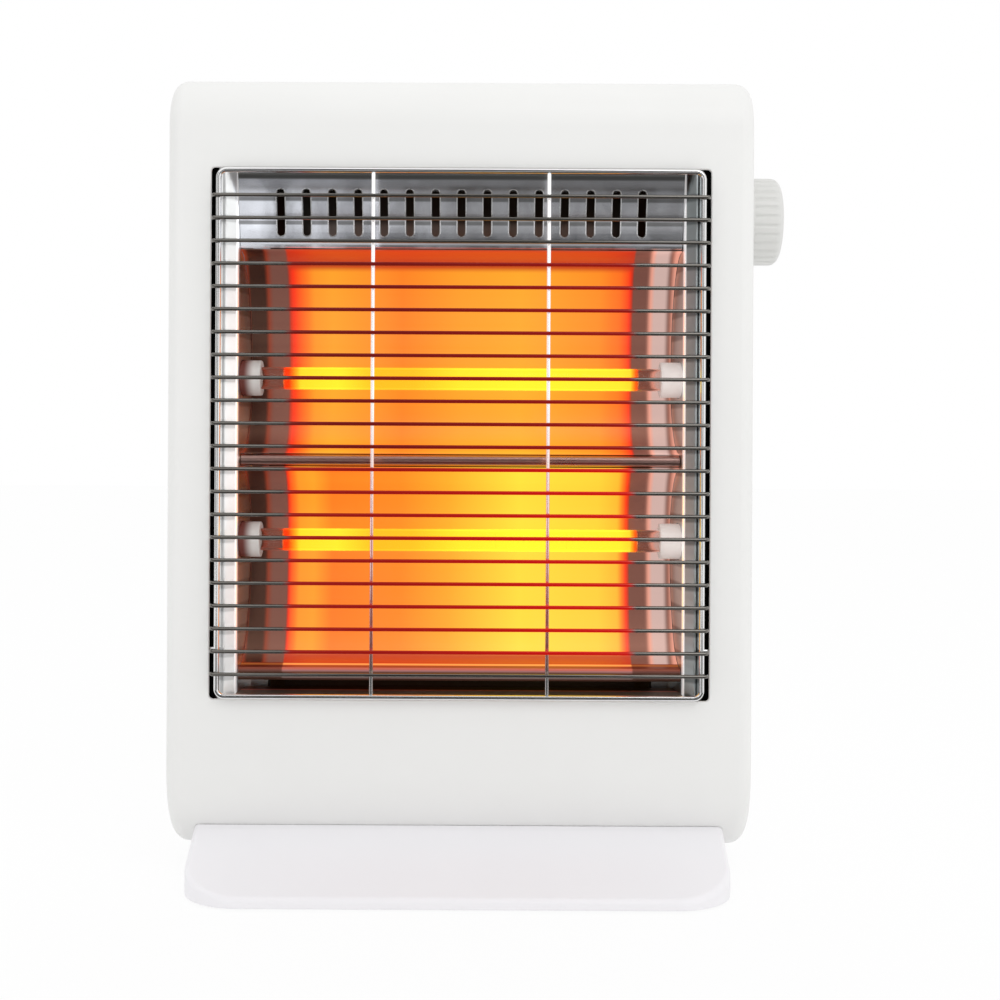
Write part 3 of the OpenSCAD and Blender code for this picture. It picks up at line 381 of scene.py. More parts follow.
    def complete(
        self,
        finish: "Finish",
        body: str = "heater",
        stands_for: Sequence[str] = (),
        sharp: float = 32,
        level: bool = True,
        hidden_from: Sequence[str] = (),
    ) -> bpy.types.Object:
        """Smooths and dresses the piece and hands it to its body.

        Args:
            finish: its finish.
            body: the body that it moves with.
            stands_for: the CAD nodes that it replaces.
            sharp: the angle, in degrees, past which an edge stays sharp.
            level: whether large flat faces keep their own normals.
            hidden_from: the kinds of ray that pass it by.

        Returns:
            The finished object.
        """
        self.rest()
        bpy.ops.object.shade_smooth_by_angle(angle=math.radians(sharp))
        if level:
            self.refine("WEIGHTED_NORMAL", keep_sharp=True, weight=60)
        self.item.data.materials.clear()
        self.item.data.materials.append(finish.material())
        for ray in hidden_from:
            setattr(self.item, f"visible_{ray}", False)
        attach(self.item, body)
        if stands_for:
            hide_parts(*stands_for)
        LOG.info("%s: %d faces, finish %s", self.item.name, len(self.item.data.polygons), finish.name)
        return self.item


def wire(name: str, start: Place, d: float, axis: Axis, sides: int = 12) -> Workpiece:
    """Starts a wire: an open circle, all selected, ready to be drawn out."""
    piece = Workpiece.ring(name, start, d, axis, sides)
    piece.select_all()
    return piece


def fold(name: str, start: Place, end: Place, path: Sequence[tuple[float, float]], plane: str) -> Workpiece:
    """Folds sheet metal: draws an edge along a path, point after point.

    Args:
        name: the piece's name.
        start: one end of the first edge.
        end: the other end of the first edge.
        path: the points that follow, in the plane square to the edge.
        plane: the letters of that plane's axes, yz or xy.

    Returns:
        The open sheet.
    """
    piece = Workpiece.edge(name, start, end)
    here = (start[1], start[2]) if plane == "yz" else (start[0], start[1])
    for point in path:
        step = (point[0] - here[0], point[1] - here[1])
        if plane == "yz":
            piece.extrude(y=step[0], z=step[1])
        else:
            piece.extrude(x=step[0], y=step[1])
        here = point
    return piece


# ---------- Finishes ----------


class Graph:
    """Adds shader nodes to a tree and joins them."""

    def __init__(self, tree: bpy.types.NodeTree) -> None:
        """Takes the tree that the nodes go into."""
        self.tree = tree

    def put(
        self, kind: str, inputs: Mapping[Union[int, str], Value] = {}, **settings: object
    ) -> bpy.types.Node:
        """Adds a node.

        Args:
            kind: the node's type, without ShaderNode in front.
            inputs: what goes into its sockets, by name or number: a value or a socket.
            **settings: its settings.

        Returns:
            The node.
        """
        node = self.tree.nodes.new("ShaderNode" + kind)
        for name, value in settings.items():
            setattr(node, name, value)
        for name, value in inputs.items():
            if isinstance(value, bpy.types.NodeSocket):
                self.tree.links.new(value, node.inputs[name])
            else:
                node.inputs[name].default_value = value
        return node

    def feed(self, value: bpy.types.NodeSocket, shader: bpy.types.Node, name: str) -> None:
        """Joins a socket to one of a shader's inputs."""
        self.tree.links.new(value, shader.inputs[name])

    def math(self, how: str, a: Value, b: Value = 0.0) -> bpy.types.NodeSocket:
        """Works out one number from two."""
        return self.put("Math", {0: a, 1: b}, operation=how).outputs[0]

    def times(self, a: Value, b: Value) -> bpy.types.NodeSocket:
        """Multiplies two numbers."""
        return self.math("MULTIPLY", a, b)

    def less(self, a: Value, b: Value) -> bpy.types.NodeSocket:
        """Takes one number from another."""
        return self.math("SUBTRACT", a, b)

    def mix(self, share: Value, a: Value, b: Value, how: str = "MIX") -> bpy.types.NodeSocket:
        """Mixes two colours."""
        colours = {6: (*a, 1) if isinstance(a, tuple) else a, 7: (*b, 1) if isinstance(b, tuple) else b}
        return self.put("Mix", {0: share, **colours}, data_type="RGBA", blend_type=how).outputs[2]

    def span(
        self, value: Value, low: float, high: float, start: float = 0, end: float = 1, how: str = "LINEAR"
    ) -> bpy.types.NodeSocket:
        """Maps a number straight from one range to another."""
        sockets = {0: value, 1: low, 2: high, 3: start, 4: end}
        return self.put("MapRange", sockets, interpolation_type=how).outputs[0]

    def rise(
        self, value: Value, low: float, high: float, start: float = 0, end: float = 1
    ) -> bpy.types.NodeSocket:
        """Maps a number smoothly from one range to another."""
        return self.span(value, low, high, start, end, "SMOOTHSTEP")

    def bump(self, value: Value, middle: float, half: float) -> bpy.types.NodeSocket:
        """Gives 1 in the middle of a band and 0 outside it, smoothly."""
        off = self.math("ABSOLUTE", self.less(value, middle))
        return self.rise(off, half * 0.35, half, 1, 0)

    def noise(self, place: Value, size: Value, detail: float) -> bpy.types.NodeSocket:
        """Gives noise with patches of a size, in metres."""
        scale = self.math("DIVIDE", 1.0, size)
        return self.put("TexNoise", {"Vector": place, "Scale": scale, "Detail": detail}).outputs[0]

    def ramp(self, share: Value, stops: Sequence[tuple[float, Colour]]) -> bpy.types.NodeSocket:
        """Picks a colour from a row of stops."""
        node = self.put("ValToRGB", {0: share})
        row = node.color_ramp.elements
        for place, colour in stops[1:-1]:
            row.new(place).color = (*colour, 1)
        for end, stop in ((0, stops[0]), (len(row) - 1, stops[-1])):
            row[end].position, row[end].color = stop[0], (*stop[1], 1)
        return node.outputs[0]

    def place(self) -> tuple[bpy.types.NodeSocket, ...]:
        """Gives the place on the object, in metres, whole and as X, Y and Z."""
        whole = self.put("TexCoord").outputs["Object"]
        parts = self.put("SeparateXYZ", {0: whole}).outputs
        return whole, parts[0], parts[1], parts[2]

    def place_mm(self) -> tuple[bpy.types.NodeSocket, ...]:
        """Gives the distance to the right of the middle, the depth and the height, in millimetres."""
        x, y, z = (self.times(part, 1 / MM) for part in self.place()[1:])
        return self.less(x, MIDDLE_X), y, z

    def seen(self) -> bpy.types.NodeSocket:
        """Gives 1 for what the camera sees, also in metal and through glass, and 0 for other rays."""
        rays = self.put("LightPath").outputs
        seen = self.math("MAXIMUM", rays["Is Camera Ray"], rays["Is Glossy Ray"])
        return self.math("MAXIMUM", seen, rays["Is Transmission Ray"])


def group(
    name: str, inputs: Mapping[str, float], outputs: Sequence[str]
) -> tuple[bpy.types.NodeTree, Graph, bool]:
    """Finds or starts a shared node group.

    Args:
        name: the group's name.
        inputs: its number inputs with their usual values.
        outputs: its number outputs.

    Returns:
        The group, a graph in it, and whether it is new.
    """
    if name in bpy.data.node_groups:
        tree = bpy.data.node_groups[name]
        return tree, Graph(tree), False
    tree = bpy.data.node_groups.new(name, "ShaderNodeTree")
    for label, usual in inputs.items():
        tree.interface.new_socket(label, in_out="INPUT", socket_type="NodeSocketFloat").default_value = usual
    for label in outputs:
        tree.interface.new_socket(label, in_out="OUTPUT", socket_type="NodeSocketFloat")
    return tree, Graph(tree), True


def moulding_group() -> bpy.types.NodeTree:
    """Builds the surface of moulded plastic: fine grain over a slow waviness."""
    tree, graph, new = group("moulded_surface", {"Grain": 0.0009, "Wave": 0.06}, ["Height", "Shade"])
    if new:
        given = graph.tree.nodes.new("NodeGroupInput").outputs
        out = graph.tree.nodes.new("NodeGroupOutput").inputs
        whole = graph.place()[0]
        tree.links.new(graph.noise(whole, given["Grain"], 2.0), out["Height"])
        tree.links.new(graph.noise(whole, given["Wave"], 3.0), out["Shade"])
    return tree


def rolled_group() -> bpy.types.NodeTree:
    """Builds the surface of rolled sheet: fine lines along X and cloudy patches."""
    tree, graph, new = group("rolled_surface", {"Line": 0.0008, "Cloud": 0.05}, ["Height", "Shade"])
    if new:
        given = graph.tree.nodes.new("NodeGroupInput").outputs
        out = graph.tree.nodes.new("NodeGroupOutput").inputs
        whole = graph.place()[0]
        drawn = graph.put("Mapping", {"Vector": whole, "Scale": (0.02, 1, 1)}).outputs[0]
        tree.links.new(graph.noise(drawn, given["Line"], 2.0), out["Height"])
        tree.links.new(graph.noise(whole, given["Cloud"], 4.0), out["Shade"])
    return tree


class Tint:
    """The colours that the finishes mix in: the lamps' light as it grows hotter, and painted light, shade and
    reflections.
    """

    off = (0.0, 0.0, 0.0)
    white = (1.0, 1.0, 1.0)
    shadow = (0.02, 0.02, 0.02)
    black = (0.006, 0.006, 0.006)
    steel_shade = (0.045, 0.045, 0.038)
    shade_under_trough = (0.03, 0.03, 0.028)
    lamp_light_line = (0.75, 0.34, 0.28)
    wire_in_lamp_light = (0.085, 0.03, 0.025)
    faint_red = (0.05, 0.004, 0.004)
    bright_red = (0.55, 0.003, 0.002)
    dim_mirror = (0.42, 0.42, 0.43)
    mirrored_bar = (0.16, 0.16, 0.155)
    sky = (0.90, 0.93, 1.0)
    cool_rim = (0.30, 0.24, 0.22)
    gold = (0.45, 0.38, 0.06)
    warm_white = (1.0, 0.80, 0.74)
    cap_shade = (0.17, 0.035, 0.025)
    shade_dark = (0.02, 0.008, 0.006)
    brown = (0.11, 0.022, 0.014)
    dark_red_glow = (0.22, 0.030, 0.013)
    grey = (0.14, 0.10, 0.095)
    rose_glow = (0.34, 0.15, 0.16)
    flame = (0.50, 0.11, 0.075)
    glint = (1.0, 0.33, 0.08)
    dusk = (0.50, 0.030, 0.010)
    ember = (0.95, 0.035, 0.008)
    orange = (1.0, 0.20, 0.016)
    amber = (1.0, 0.40, 0.026)
    yellow = (1.05, 0.80, 0.055)
    mauve = (0.16, 0.065, 0.05)
    blush = (0.60, 0.42, 0.38)
    salmon = (0.80, 0.34, 0.25)


@dataclass(frozen=True)
class Finish:
    """What a surface is made of and looks like.

    Attributes:
        name: the material's name.
        slot: the material slot of the record that it stands for; it is not used.
        colour: its linear colour.
        roughness: how matt it is.
        metallic: 1 for bare metal.
    """

    name: str
    slot: str
    colour: Colour
    roughness: float
    metallic: float = 0.0

    def material(self) -> bpy.types.Material:
        """Returns the Blender material, built at its first use."""
        if self.name in bpy.data.materials:
            return bpy.data.materials[self.name]
        material = bpy.data.materials.new(self.name)
        material.use_nodes = True
        material.diffuse_color = (*self.colour, 1)
        graph = Graph(material.node_tree)
        shader = material.node_tree.nodes["Principled BSDF"]
        shader.inputs["Base Color"].default_value = (*self.colour, 1)
        shader.inputs["Roughness"].default_value = self.roughness
        shader.inputs["Metallic"].default_value = self.metallic
        self.detail(graph, shader)
        return material

    def detail(self, graph: Graph, shader: bpy.types.Node) -> None:
        """Adds what varies over the surface; each kind of finish has its own."""

    def surface(
        self, graph: Graph, shader: bpy.types.Node, tree: bpy.types.NodeTree,
        sizes: Mapping[str, float], bump: float, spread: float, tint: float,
    ) -> bpy.types.NodeSocket:
        """Lets a shared surface work on the bump, the roughness and the colour.

        Args:
            graph: the material's graph.
            shader: its Principled BSDF.
            tree: the shared surface.
            sizes: what goes into the group.
            bump: the depth of its relief, in millimetres.
            spread: how far the roughness varies.
            tint: how far the colour varies.

        Returns:
            The colour with its variation.
        """
        node = graph.tree.nodes.new("ShaderNodeGroup")
        node.node_tree = tree
        for label, size in sizes.items():
            node.inputs[label].default_value = size
        shade = node.outputs["Shade"]
        relief = graph.put("Bump", {"Height": node.outputs["Height"], "Strength": 1.0, "Distance": bump * MM})
        graph.feed(relief.outputs[0], shader, "Normal")
        low, high = max(self.roughness - spread, 0.02), self.roughness + spread
        graph.feed(graph.span(shade, 0.3, 0.7, low, high), shader, "Roughness")
        darker = tuple(c * (1 - tint) for c in self.colour)
        colour = graph.mix(graph.rise(shade, 0.3, 0.7), self.colour, darker)
        graph.feed(colour, shader, "Base Color")
        return colour


@dataclass(frozen=True)
class MouldedPlastic(Finish):
    """Satin moulded plastic with a very fine grain.

    Attributes:
        grain: the size of its grain, in millimetres.
        relief: the depth of its grain, in millimetres.
    """

    grain: float = 0.9
    relief: float = 0.006

    def detail(self, graph: Graph, shader: bpy.types.Node) -> None:
        """Adds the grain and a slow change of gloss."""
        sizes = {"Grain": self.grain * MM, "Wave": 0.06}
        self.surface(graph, shader, moulding_group(), sizes, self.relief, 0.04, 0.012)
        shader.inputs["IOR"].default_value = 1.46


@dataclass(frozen=True)
class SheetMetal(Finish):
    """Bright rolled or plated sheet and wire.

    Attributes:
        line: the distance between its rolling lines, in millimetres.
        relief: their depth, in millimetres.
        patches: how far its gloss varies.
        cloud: the size of its patches, in millimetres.
        tint: how far its colour varies.
    """

    line: float = 0.8
    relief: float = 0.002
    patches: float = 0.04
    cloud: float = 50
    tint: float = 0.08

    def rolled(self, graph: Graph, shader: bpy.types.Node) -> bpy.types.NodeSocket:
        """Adds the rolling lines and cloudy patches, and gives the colour with them."""
        sizes = {"Line": self.line * MM, "Cloud": self.cloud * MM}
        return self.surface(graph, shader, rolled_group(), sizes, self.relief, self.patches, self.tint)

    def detail(self, graph: Graph, shader: bpy.types.Node) -> None:
        """Adds the rolling lines and cloudy patches."""
        self.rolled(graph, shader)


@dataclass(frozen=True)
class StripMetal(SheetMetal):
    """Satin sheet with the bars' painted shadows, a painted edge highlight and painted shade on its flange.

    Attributes:
        edge: how far from the middle the painted shade over the flange starts, in millimetres.
        edge_fade: the width over which it sets in.
        inner: how far from the middle the painted highlight along the rolled edge is.
        inner_half: half the width of that highlight.
        inner_highlight: how strongly that painted highlight glows.
        shade: how dark the bars' painted shadows are.
        shadow_half: half the width of a shadow.
        shadows: how many shadows there are.
        first: the height of the lowest shadow.
        pitch: the distance between the shadows.
        painted_light: how strongly light is painted on the strip as a glow.
    """

    edge: float = 127.6
    edge_fade: float = 0.8
    inner: float = 118.8
    inner_half: float = 0.9
    inner_highlight: float = 0.45
    shade: float = 0.3
    shadow_half: float = 2.8
    shadows: int = 22
    first: float = 106.7
    pitch: float = 12.126
    painted_light: float = 0.0

    def detail(self, graph: Graph, shader: bpy.types.Node) -> None:
        """Adds the rolling lines, painted shadows, a painted edge highlight, painted light and painted shade
        on the flange.
        """
        colour = self.rolled(graph, shader)
        across, _, z = graph.place_mm()
        off = graph.math("ABSOLUTE", across)
        # Painted shadows of the guard bars, a band under each bar.
        step = graph.math("FLOORED_MODULO", graph.less(z, self.first - self.pitch / 2), self.pitch)
        shadow = graph.times(graph.bump(step, self.pitch / 2, self.shadow_half), self.shade)
        highest = self.first + (self.shadows - 0.5) * self.pitch
        shadow = graph.times(shadow, graph.math("LESS_THAN", z, highest))
        shaded = graph.mix(shadow, colour, Tint.shadow)
        # Painted highlight along the rolled inner edge.
        bright = graph.bump(off, self.inner, self.inner_half)
        edged = graph.mix(bright, shaded, Tint.white)
        # Painted shade over the outer flange, behind the window's edge.
        dark = graph.rise(off, self.edge, self.edge + self.edge_fade)
        graph.feed(graph.mix(dark, edged, Tint.black), shader, "Base Color")
        # The highlight and the painted light on the strip glow as emission, but not in the painted shade.
        front = graph.rise(off, self.inner - self.inner_half, self.inner - 0.5)
        front = graph.times(front, graph.less(1.0, dark))
        painted_light = graph.times(graph.less(1.0, shadow), self.painted_light)
        glow = graph.math("MAXIMUM", graph.times(bright, self.inner_highlight), painted_light)
        shader.inputs["Emission Color"].default_value = (*Tint.white, 1)
        graph.feed(graph.times(front, glow), shader, "Emission Strength")


@dataclass(frozen=True)
class ShadedSteel(SheetMetal):
    """Zinc-plated sheet with painted shade: darker all but behind the lower half of the slots.

    Attributes:
        above: the heights, in millimetres, where the painted shade above is full and where it ends.
        below: the heights where the painted shade below is full and where it ends.
        beside: how far from the middle the painted shade beside starts and where it is full.
    """

    above: tuple[float, float] = (356.0, 350.0)
    below: tuple[float, float] = (331.0, 335.0)
    beside: tuple[float, float] = (72.0, 88.0)

    def detail(self, graph: Graph, shader: bpy.types.Node) -> None:
        """Adds the rolling lines, and the painted shade above, below and beside the lit field."""
        colour = self.rolled(graph, shader)
        across, _, z = graph.place_mm()
        # Painted shade: darker above, below and beside the field behind the lower half of the slots.
        lit_field = graph.times(graph.rise(z, *self.above), graph.rise(z, *self.below))
        lit_field = graph.times(lit_field, graph.rise(graph.math("ABSOLUTE", across), *self.beside, 1, 0))
        graph.feed(graph.mix(lit_field, Tint.steel_shade, colour), shader, "Base Color")


@dataclass(frozen=True)
class ShelfMetal(SheetMetal):
    """Dull sheet, bright along its front, with a painted red line of lamp light and painted shade under the
    troughs.

    Attributes:
        line_y: the depth of the red line of the lamps' light painted on it, in millimetres.
        line_half: half the width of that line.
        fade: the width over which the painted shade behind it sets in.
    """

    line_y: float = -18.5
    line_half: float = 2.2
    fade: float = 3

    def detail(self, graph: Graph, shader: bpy.types.Node) -> None:
        """Adds the rolling lines, the painted red line of lamp light and the painted shade behind it."""
        colour = self.rolled(graph, shader)
        y = graph.place_mm()[1]
        # Painted shade behind the line, under the troughs.
        behind = graph.rise(y, self.line_y, self.line_y + self.fade)
        dark = graph.mix(behind, colour, Tint.shade_under_trough)
        # Painted red line of the lamps' light.
        line = graph.bump(y, self.line_y, self.line_half)
        graph.feed(graph.mix(line, dark, Tint.lamp_light_line), shader, "Base Color")


@dataclass(frozen=True)
class LampLitBarMetal(SheetMetal):
    """Wire with the lamps' red light painted on it in front of the lamps.

    Attributes:
        half: how far from the middle it is lit.
        fade: half the width over which the light ends there.
        low: the lowest lit height.
        ridge: the height of the ridge bar, below which the red is brighter.
        high: the highest lit height.
        lost: how much of the red is lost above the ridge bar.
        growth: the places, left and right of the middle, between which the red grows.
        least: the share of the red at the left.
    """

    half: float = 90.0
    fade: float = 3.0
    low: float = 112.0
    ridge: float = 222.0
    high: float = 334.0
    lost: float = 0.6
    growth: tuple[float, float] = (-60.0, 70.0)
    least: float = 0.45

    def detail(self, graph: Graph, shader: bpy.types.Node) -> None:
        """Adds the drawing lines, and the lamps' red light painted on the wire's dark side."""
        colour = self.rolled(graph, shader)
        across, _, z = graph.place_mm()
        off = graph.math("ABSOLUTE", across)
        # Painted lamp light: a red glow on the bars in front of the lamps.
        near = graph.rise(off, self.half - self.fade, self.half + self.fade, 1, 0)
        within = graph.times(graph.math("GREATER_THAN", z, self.low), graph.math("LESS_THAN", z, self.high))
        lit = graph.times(near, within)
        graph.feed(graph.mix(lit, colour, Tint.wire_in_lamp_light), shader, "Base Color")
        above = graph.math("GREATER_THAN", z, self.ridge)
        fierce = graph.less(1.0, graph.times(above, self.lost))
        grown = graph.times(graph.rise(across, *self.growth), 1 - self.least)
        fierce = graph.times(fierce, graph.math("ADD", self.least, grown))
        red = graph.mix(fierce, Tint.faint_red, Tint.bright_red)
        graph.feed(graph.mix(lit, Tint.off, red), shader, "Emission Color")
        shader.inputs["Emission Strength"].default_value = 1.0


@dataclass(frozen=True)
class LitUprightMetal(SheetMetal):
    """Wire with painted light on it: white above and the lamps' red lower down.

    Attributes:
        low: the height of the wire's foot, in millimetres.
        high: the height of its top.
    """

    low: float = 96.0
    high: float = 376.0

    def detail(self, graph: Graph, shader: bpy.types.Node) -> None:
        """Adds the drawing lines and the painted light on the wire."""
        self.rolled(graph, shader)
        # Painted light along the wire: dark at its foot, the lamps' red lower down and white above.
        light = graph.ramp(
            graph.span(graph.place_mm()[2], self.low, self.high),
            [
                (0.0, (0.03, 0.03, 0.03)), (0.05, (0.03, 0.03, 0.03)), (0.08, (0.10, 0.015, 0.01)),
                (0.28, (0.30, 0.030, 0.022)), (0.42, (0.30, 0.10, 0.09)), (0.55, (0.50, 0.44, 0.43)),
                (1.0, (0.62, 0.62, 0.62)),
            ],
        )
        graph.feed(light, shader, "Emission Color")
        shader.inputs["Emission Strength"].default_value = 1.0


@dataclass(frozen=True)
class PaintedReflectionMirror(SheetMetal):
    """Bright sheet with painted reflections: sky patches, darker to the right, and the guard bars.

    Attributes:
        lip: the height of the painted highlight along its lower edge, in millimetres.
        lip_half: half the width of that line.
        mirrored: the heights of the bars whose reflections are painted in it.
        bar_half: half the width of a mirrored bar.
        fall: the places, left and right of the middle, between which its painted reflection grows darker.
        dark_top: the heights between which painted shade darkens its upper edge.
        painted_light_heights: the heights, from above, between which its painted sky patches set in.
        patch: the size of the painted sky patches, as the noise's scale.
    """

    lip: float = 337.3
    lip_half: float = 1.5
    mirrored: tuple[float, ...] = (360.1, 347.9)
    bar_half: float = 1.6
    fall: tuple[float, float] = (-105.0, 10.0)
    dark_top: tuple[float, float] = (369.6, 370.8)
    painted_light_heights: tuple[float, float] = (371.0, 358.0)
    patch: float = 62.0

    def detail(self, graph: Graph, shader: bpy.types.Node) -> None:
        """Adds painted reflections (sky patches, the fall to the right, the mirrored bars) and painted shade
        at the top.
        """
        colour = self.rolled(graph, shader)
        across, _, z = graph.place_mm()
        # Painted reflection, darker to the right.
        right = graph.rise(across, *self.fall)
        fallen = graph.mix(graph.times(right, 0.8), colour, Tint.dim_mirror)
        # Painted reflections of the guard bars, and painted shade along the upper edge.
        bars = graph.bump(z, self.mirrored[0], self.bar_half)
        for height in self.mirrored[1:]:
            bars = graph.math("MAXIMUM", bars, graph.bump(z, height, self.bar_half))
        dark = graph.math("MAXIMUM", graph.times(bars, 0.75), graph.rise(z, *self.dark_top))
        graph.feed(graph.mix(dark, fallen, Tint.mirrored_bar), shader, "Base Color")
        # Painted sky patches, as a glow.
        stretched = graph.put("Mapping", {"Vector": graph.place()[0], "Scale": (1, 1, 0.45)}).outputs[0]
        noise = {"Vector": stretched, "Scale": self.patch, "Detail": 3.0, "Distortion": 0.6}
        patches = graph.rise(graph.put("TexNoise", noise).outputs[0], 0.34, 0.66, 0.25, 1.0)
        painted_light = graph.times(patches, graph.less(0.52, graph.times(right, 0.42)))
        painted_light = graph.times(painted_light, graph.times(graph.rise(z, *self.painted_light_heights), graph.less(1.0, dark)))
        # Painted highlight along the lower edge.
        lip = graph.bump(z, self.lip, self.lip_half)
        lip = graph.times(lip, graph.less(0.50, graph.times(right, 0.26)))
        shader.inputs["Emission Color"].default_value = (*Tint.sky, 1)
        graph.feed(graph.math("MAXIMUM", painted_light, lip), shader, "Emission Strength")


@dataclass(frozen=True)
class Heat:
    """Where the lamps glow, and where their light falls, painted on the troughs.

    Attributes:
        span: half the length that the light is described over.
        half: half the length of the glowing filaments.
        upper: the painted light along the upper trough, as places from the middle and shares.
        lower: the painted light along the lower trough.
        lamp: heat along the lamps.
        edges: heights of the troughs' far lips, and of the ridge between them.
        band: width of the band of painted shade inside a far lip.
    """

    span: float = 120.0
    half: float = 95.0
    upper: tuple[tuple[float, float], ...] = (
        (-95, 0.0), (-92, 0.22), (-86, 0.42), (-80, 0.62), (-70, 0.68), (-32, 0.53), (0, 0.66), (32, 0.72),
        (75, 0.58), (86, 0.45), (91, 0.28), (94, 0.0),
    )
    lower: tuple[tuple[float, float], ...] = (
        (-95, 0.0), (-93, 0.30), (-88, 0.62), (-80, 0.66), (-70, 0.50), (-32, 0.56), (0, 0.76), (32, 0.95),
        (75, 0.88), (86, 0.78), (90, 0.30), (93, 0.0),
    )
    lamp: tuple[tuple[float, float], ...] = (
        (-92, 0.25), (-86, 0.90), (-66, 0.97), (-45, 0.76), (-25, 0.78), (0, 0.94), (30, 1.0), (86, 0.96),
        (91, 0.9), (94, 0.3),
    )
    edges: tuple[float, float, float] = (LOWER_LIP, RIDGE, UPPER_LIP)
    band: float = 8.0

    def share(self, graph: Graph) -> bpy.types.NodeSocket:
        """Gives the place along the heater from 0, left, to 1, right."""
        low, high = ((MIDDLE_X + side * self.span) * MM for side in (-1, 1))
        return graph.span(graph.place()[1], low, high)

    def at(self, mm: float) -> float:
        """Gives the share for a distance from the middle."""
        return (mm + self.span) / (2 * self.span)

    def along(self, graph: Graph, places: Sequence[tuple[float, float]]) -> bpy.types.NodeSocket:
        """Gives the heat along the heater from a row of places and shares."""
        return graph.ramp(self.share(graph), [(self.at(mm), (h, h, h)) for mm, h in places])

    def colour(self, graph: Graph, heat: Value) -> bpy.types.NodeSocket:
        """Turns heat into the colour of its light."""
        stops = (
            (0.0, Tint.brown), (0.25, Tint.ember), (0.5, Tint.orange), (0.72, Tint.amber),
            (1.0, Tint.yellow),
        )
        return graph.ramp(heat, stops)

    def of_lamp(
        self, graph: Graph, inside: float, outside: float
    ) -> tuple[bpy.types.NodeSocket, bpy.types.NodeSocket]:
        """Gives the light along a lamp.

        Args:
            graph: the material's graph.
            inside: how far before the filament's end the light starts to fade.
            outside: how far past its end the light is gone.

        Returns:
            Where the lamp is lit, from 0 to 1, and the colour of its light.
        """
        off = graph.math("ABSOLUTE", graph.less(graph.place()[1], MIDDLE_X * MM))
        lit = graph.rise(off, (self.half - inside) * MM, (self.half + outside) * MM, 1, 0)
        glow = self.colour(graph, self.along(graph, self.lamp))
        return lit, graph.mix(lit, Tint.off, glow)


@dataclass(frozen=True)
class LitTrough(Finish):
    """Polished reflector sheet with the lamps' light that it returns painted on as a glow.

    Attributes:
        heat: where the painted light falls.
        band_shade: how dark the painted shade in the band inside a far lip is.
        rim: how far below and above the lower lip the rim's painted light and shade run, in millimetres.
        rim_end: how far above the lower lip the rim's colours give way to the trough's.
    """

    heat: Heat = Heat()
    band_shade: float = 0.95
    rim: tuple[float, float] = (7.0, 2.0)
    rim_end: float = 1.6

    def ends(self, graph: Graph) -> bpy.types.NodeSocket:
        """Gives the painted shade and painted reflections that show past the lamps' ends, from left to right.
        """
        heat = self.heat
        # Painted shade at the left end, painted reflections at the right end.
        places = (
            (-heat.span, Tint.dark_red_glow), (-116.5, Tint.dark_red_glow), (-114.5, Tint.shade_dark), (-106.5, Tint.shade_dark),
            (-105, Tint.dark_red_glow), (-102.5, Tint.mauve), (101, Tint.mauve), (103, Tint.salmon),
            (105, Tint.blush), (111, Tint.blush), (113, Tint.mauve), (115.5, Tint.salmon),
            (heat.span, Tint.salmon),
        )
        return graph.ramp(heat.share(graph), [(heat.at(mm), tint) for mm, tint in places])

    def below_lip(self, graph: Graph, z: Value) -> bpy.types.NodeSocket:
        """Gives the painted light and shade of the rim at the lower lip, from its foot up."""
        low = self.heat.edges[0]
        # Painted light and shade, as glow colours, from the rim's foot up.
        return graph.ramp(
            graph.span(z, low - self.rim[0], low + self.rim[1]),
            [
                (0.0, Tint.shade_dark), (0.12, Tint.shade_dark), (0.15, Tint.grey), (0.20, Tint.grey), (0.26, Tint.shade_dark),
                (0.44, Tint.shade_dark), (0.52, Tint.mauve), (0.60, Tint.rose_glow), (0.66, Tint.flame),
                (0.74, Tint.flame), (0.78, Tint.dark_red_glow), (0.83, Tint.dark_red_glow), (0.86, Tint.glint),
                (0.91, Tint.glint), (0.94, Tint.dusk), (1.0, Tint.dusk),
            ],
        )

    def detail(self, graph: Graph, shader: bpy.types.Node) -> None:
        """Adds rolling lines, and the lamps' light painted along the troughs, in bands as the curve turns."""
        self.surface(graph, shader, rolled_group(), {"Line": 0.0012, "Cloud": 0.03}, 0.004, 0.03, 0.05)
        heat = self.heat
        low, ridge, high = heat.edges
        z = graph.place_mm()[2]
        # Painted lamp light along each trough.
        is_upper = graph.math("GREATER_THAN", z, ridge)
        along = graph.mix(is_upper, heat.along(graph, heat.lower), heat.along(graph, heat.upper))
        # Painted shade in a band inside each far lip.
        top_band = graph.rise(z, high - heat.band - 3, high - heat.band + 1)
        low_band = graph.rise(z, low + heat.band - 1, low + heat.band - 3)
        dull_and_shaded = graph.times(graph.math("MAXIMUM", top_band, low_band), self.band_shade)
        glow = graph.mix(dull_and_shaded, heat.colour(graph, along), Tint.dusk)
        lit = graph.rise(along, 0.02, 0.14)
        inside = graph.mix(lit, self.ends(graph), glow)
        # Painted light and shade on the rim under the lower lip.
        rim = self.below_lip(graph, z)
        rim = graph.mix(lit, graph.mix(1.0, rim, Tint.cool_rim, "MULTIPLY"), rim)
        on_rim = graph.math("LESS_THAN", z, low + self.rim_end)
        graph.feed(graph.mix(on_rim, inside, rim), shader, "Emission Color")
        shader.inputs["Emission Strength"].default_value = 1.0


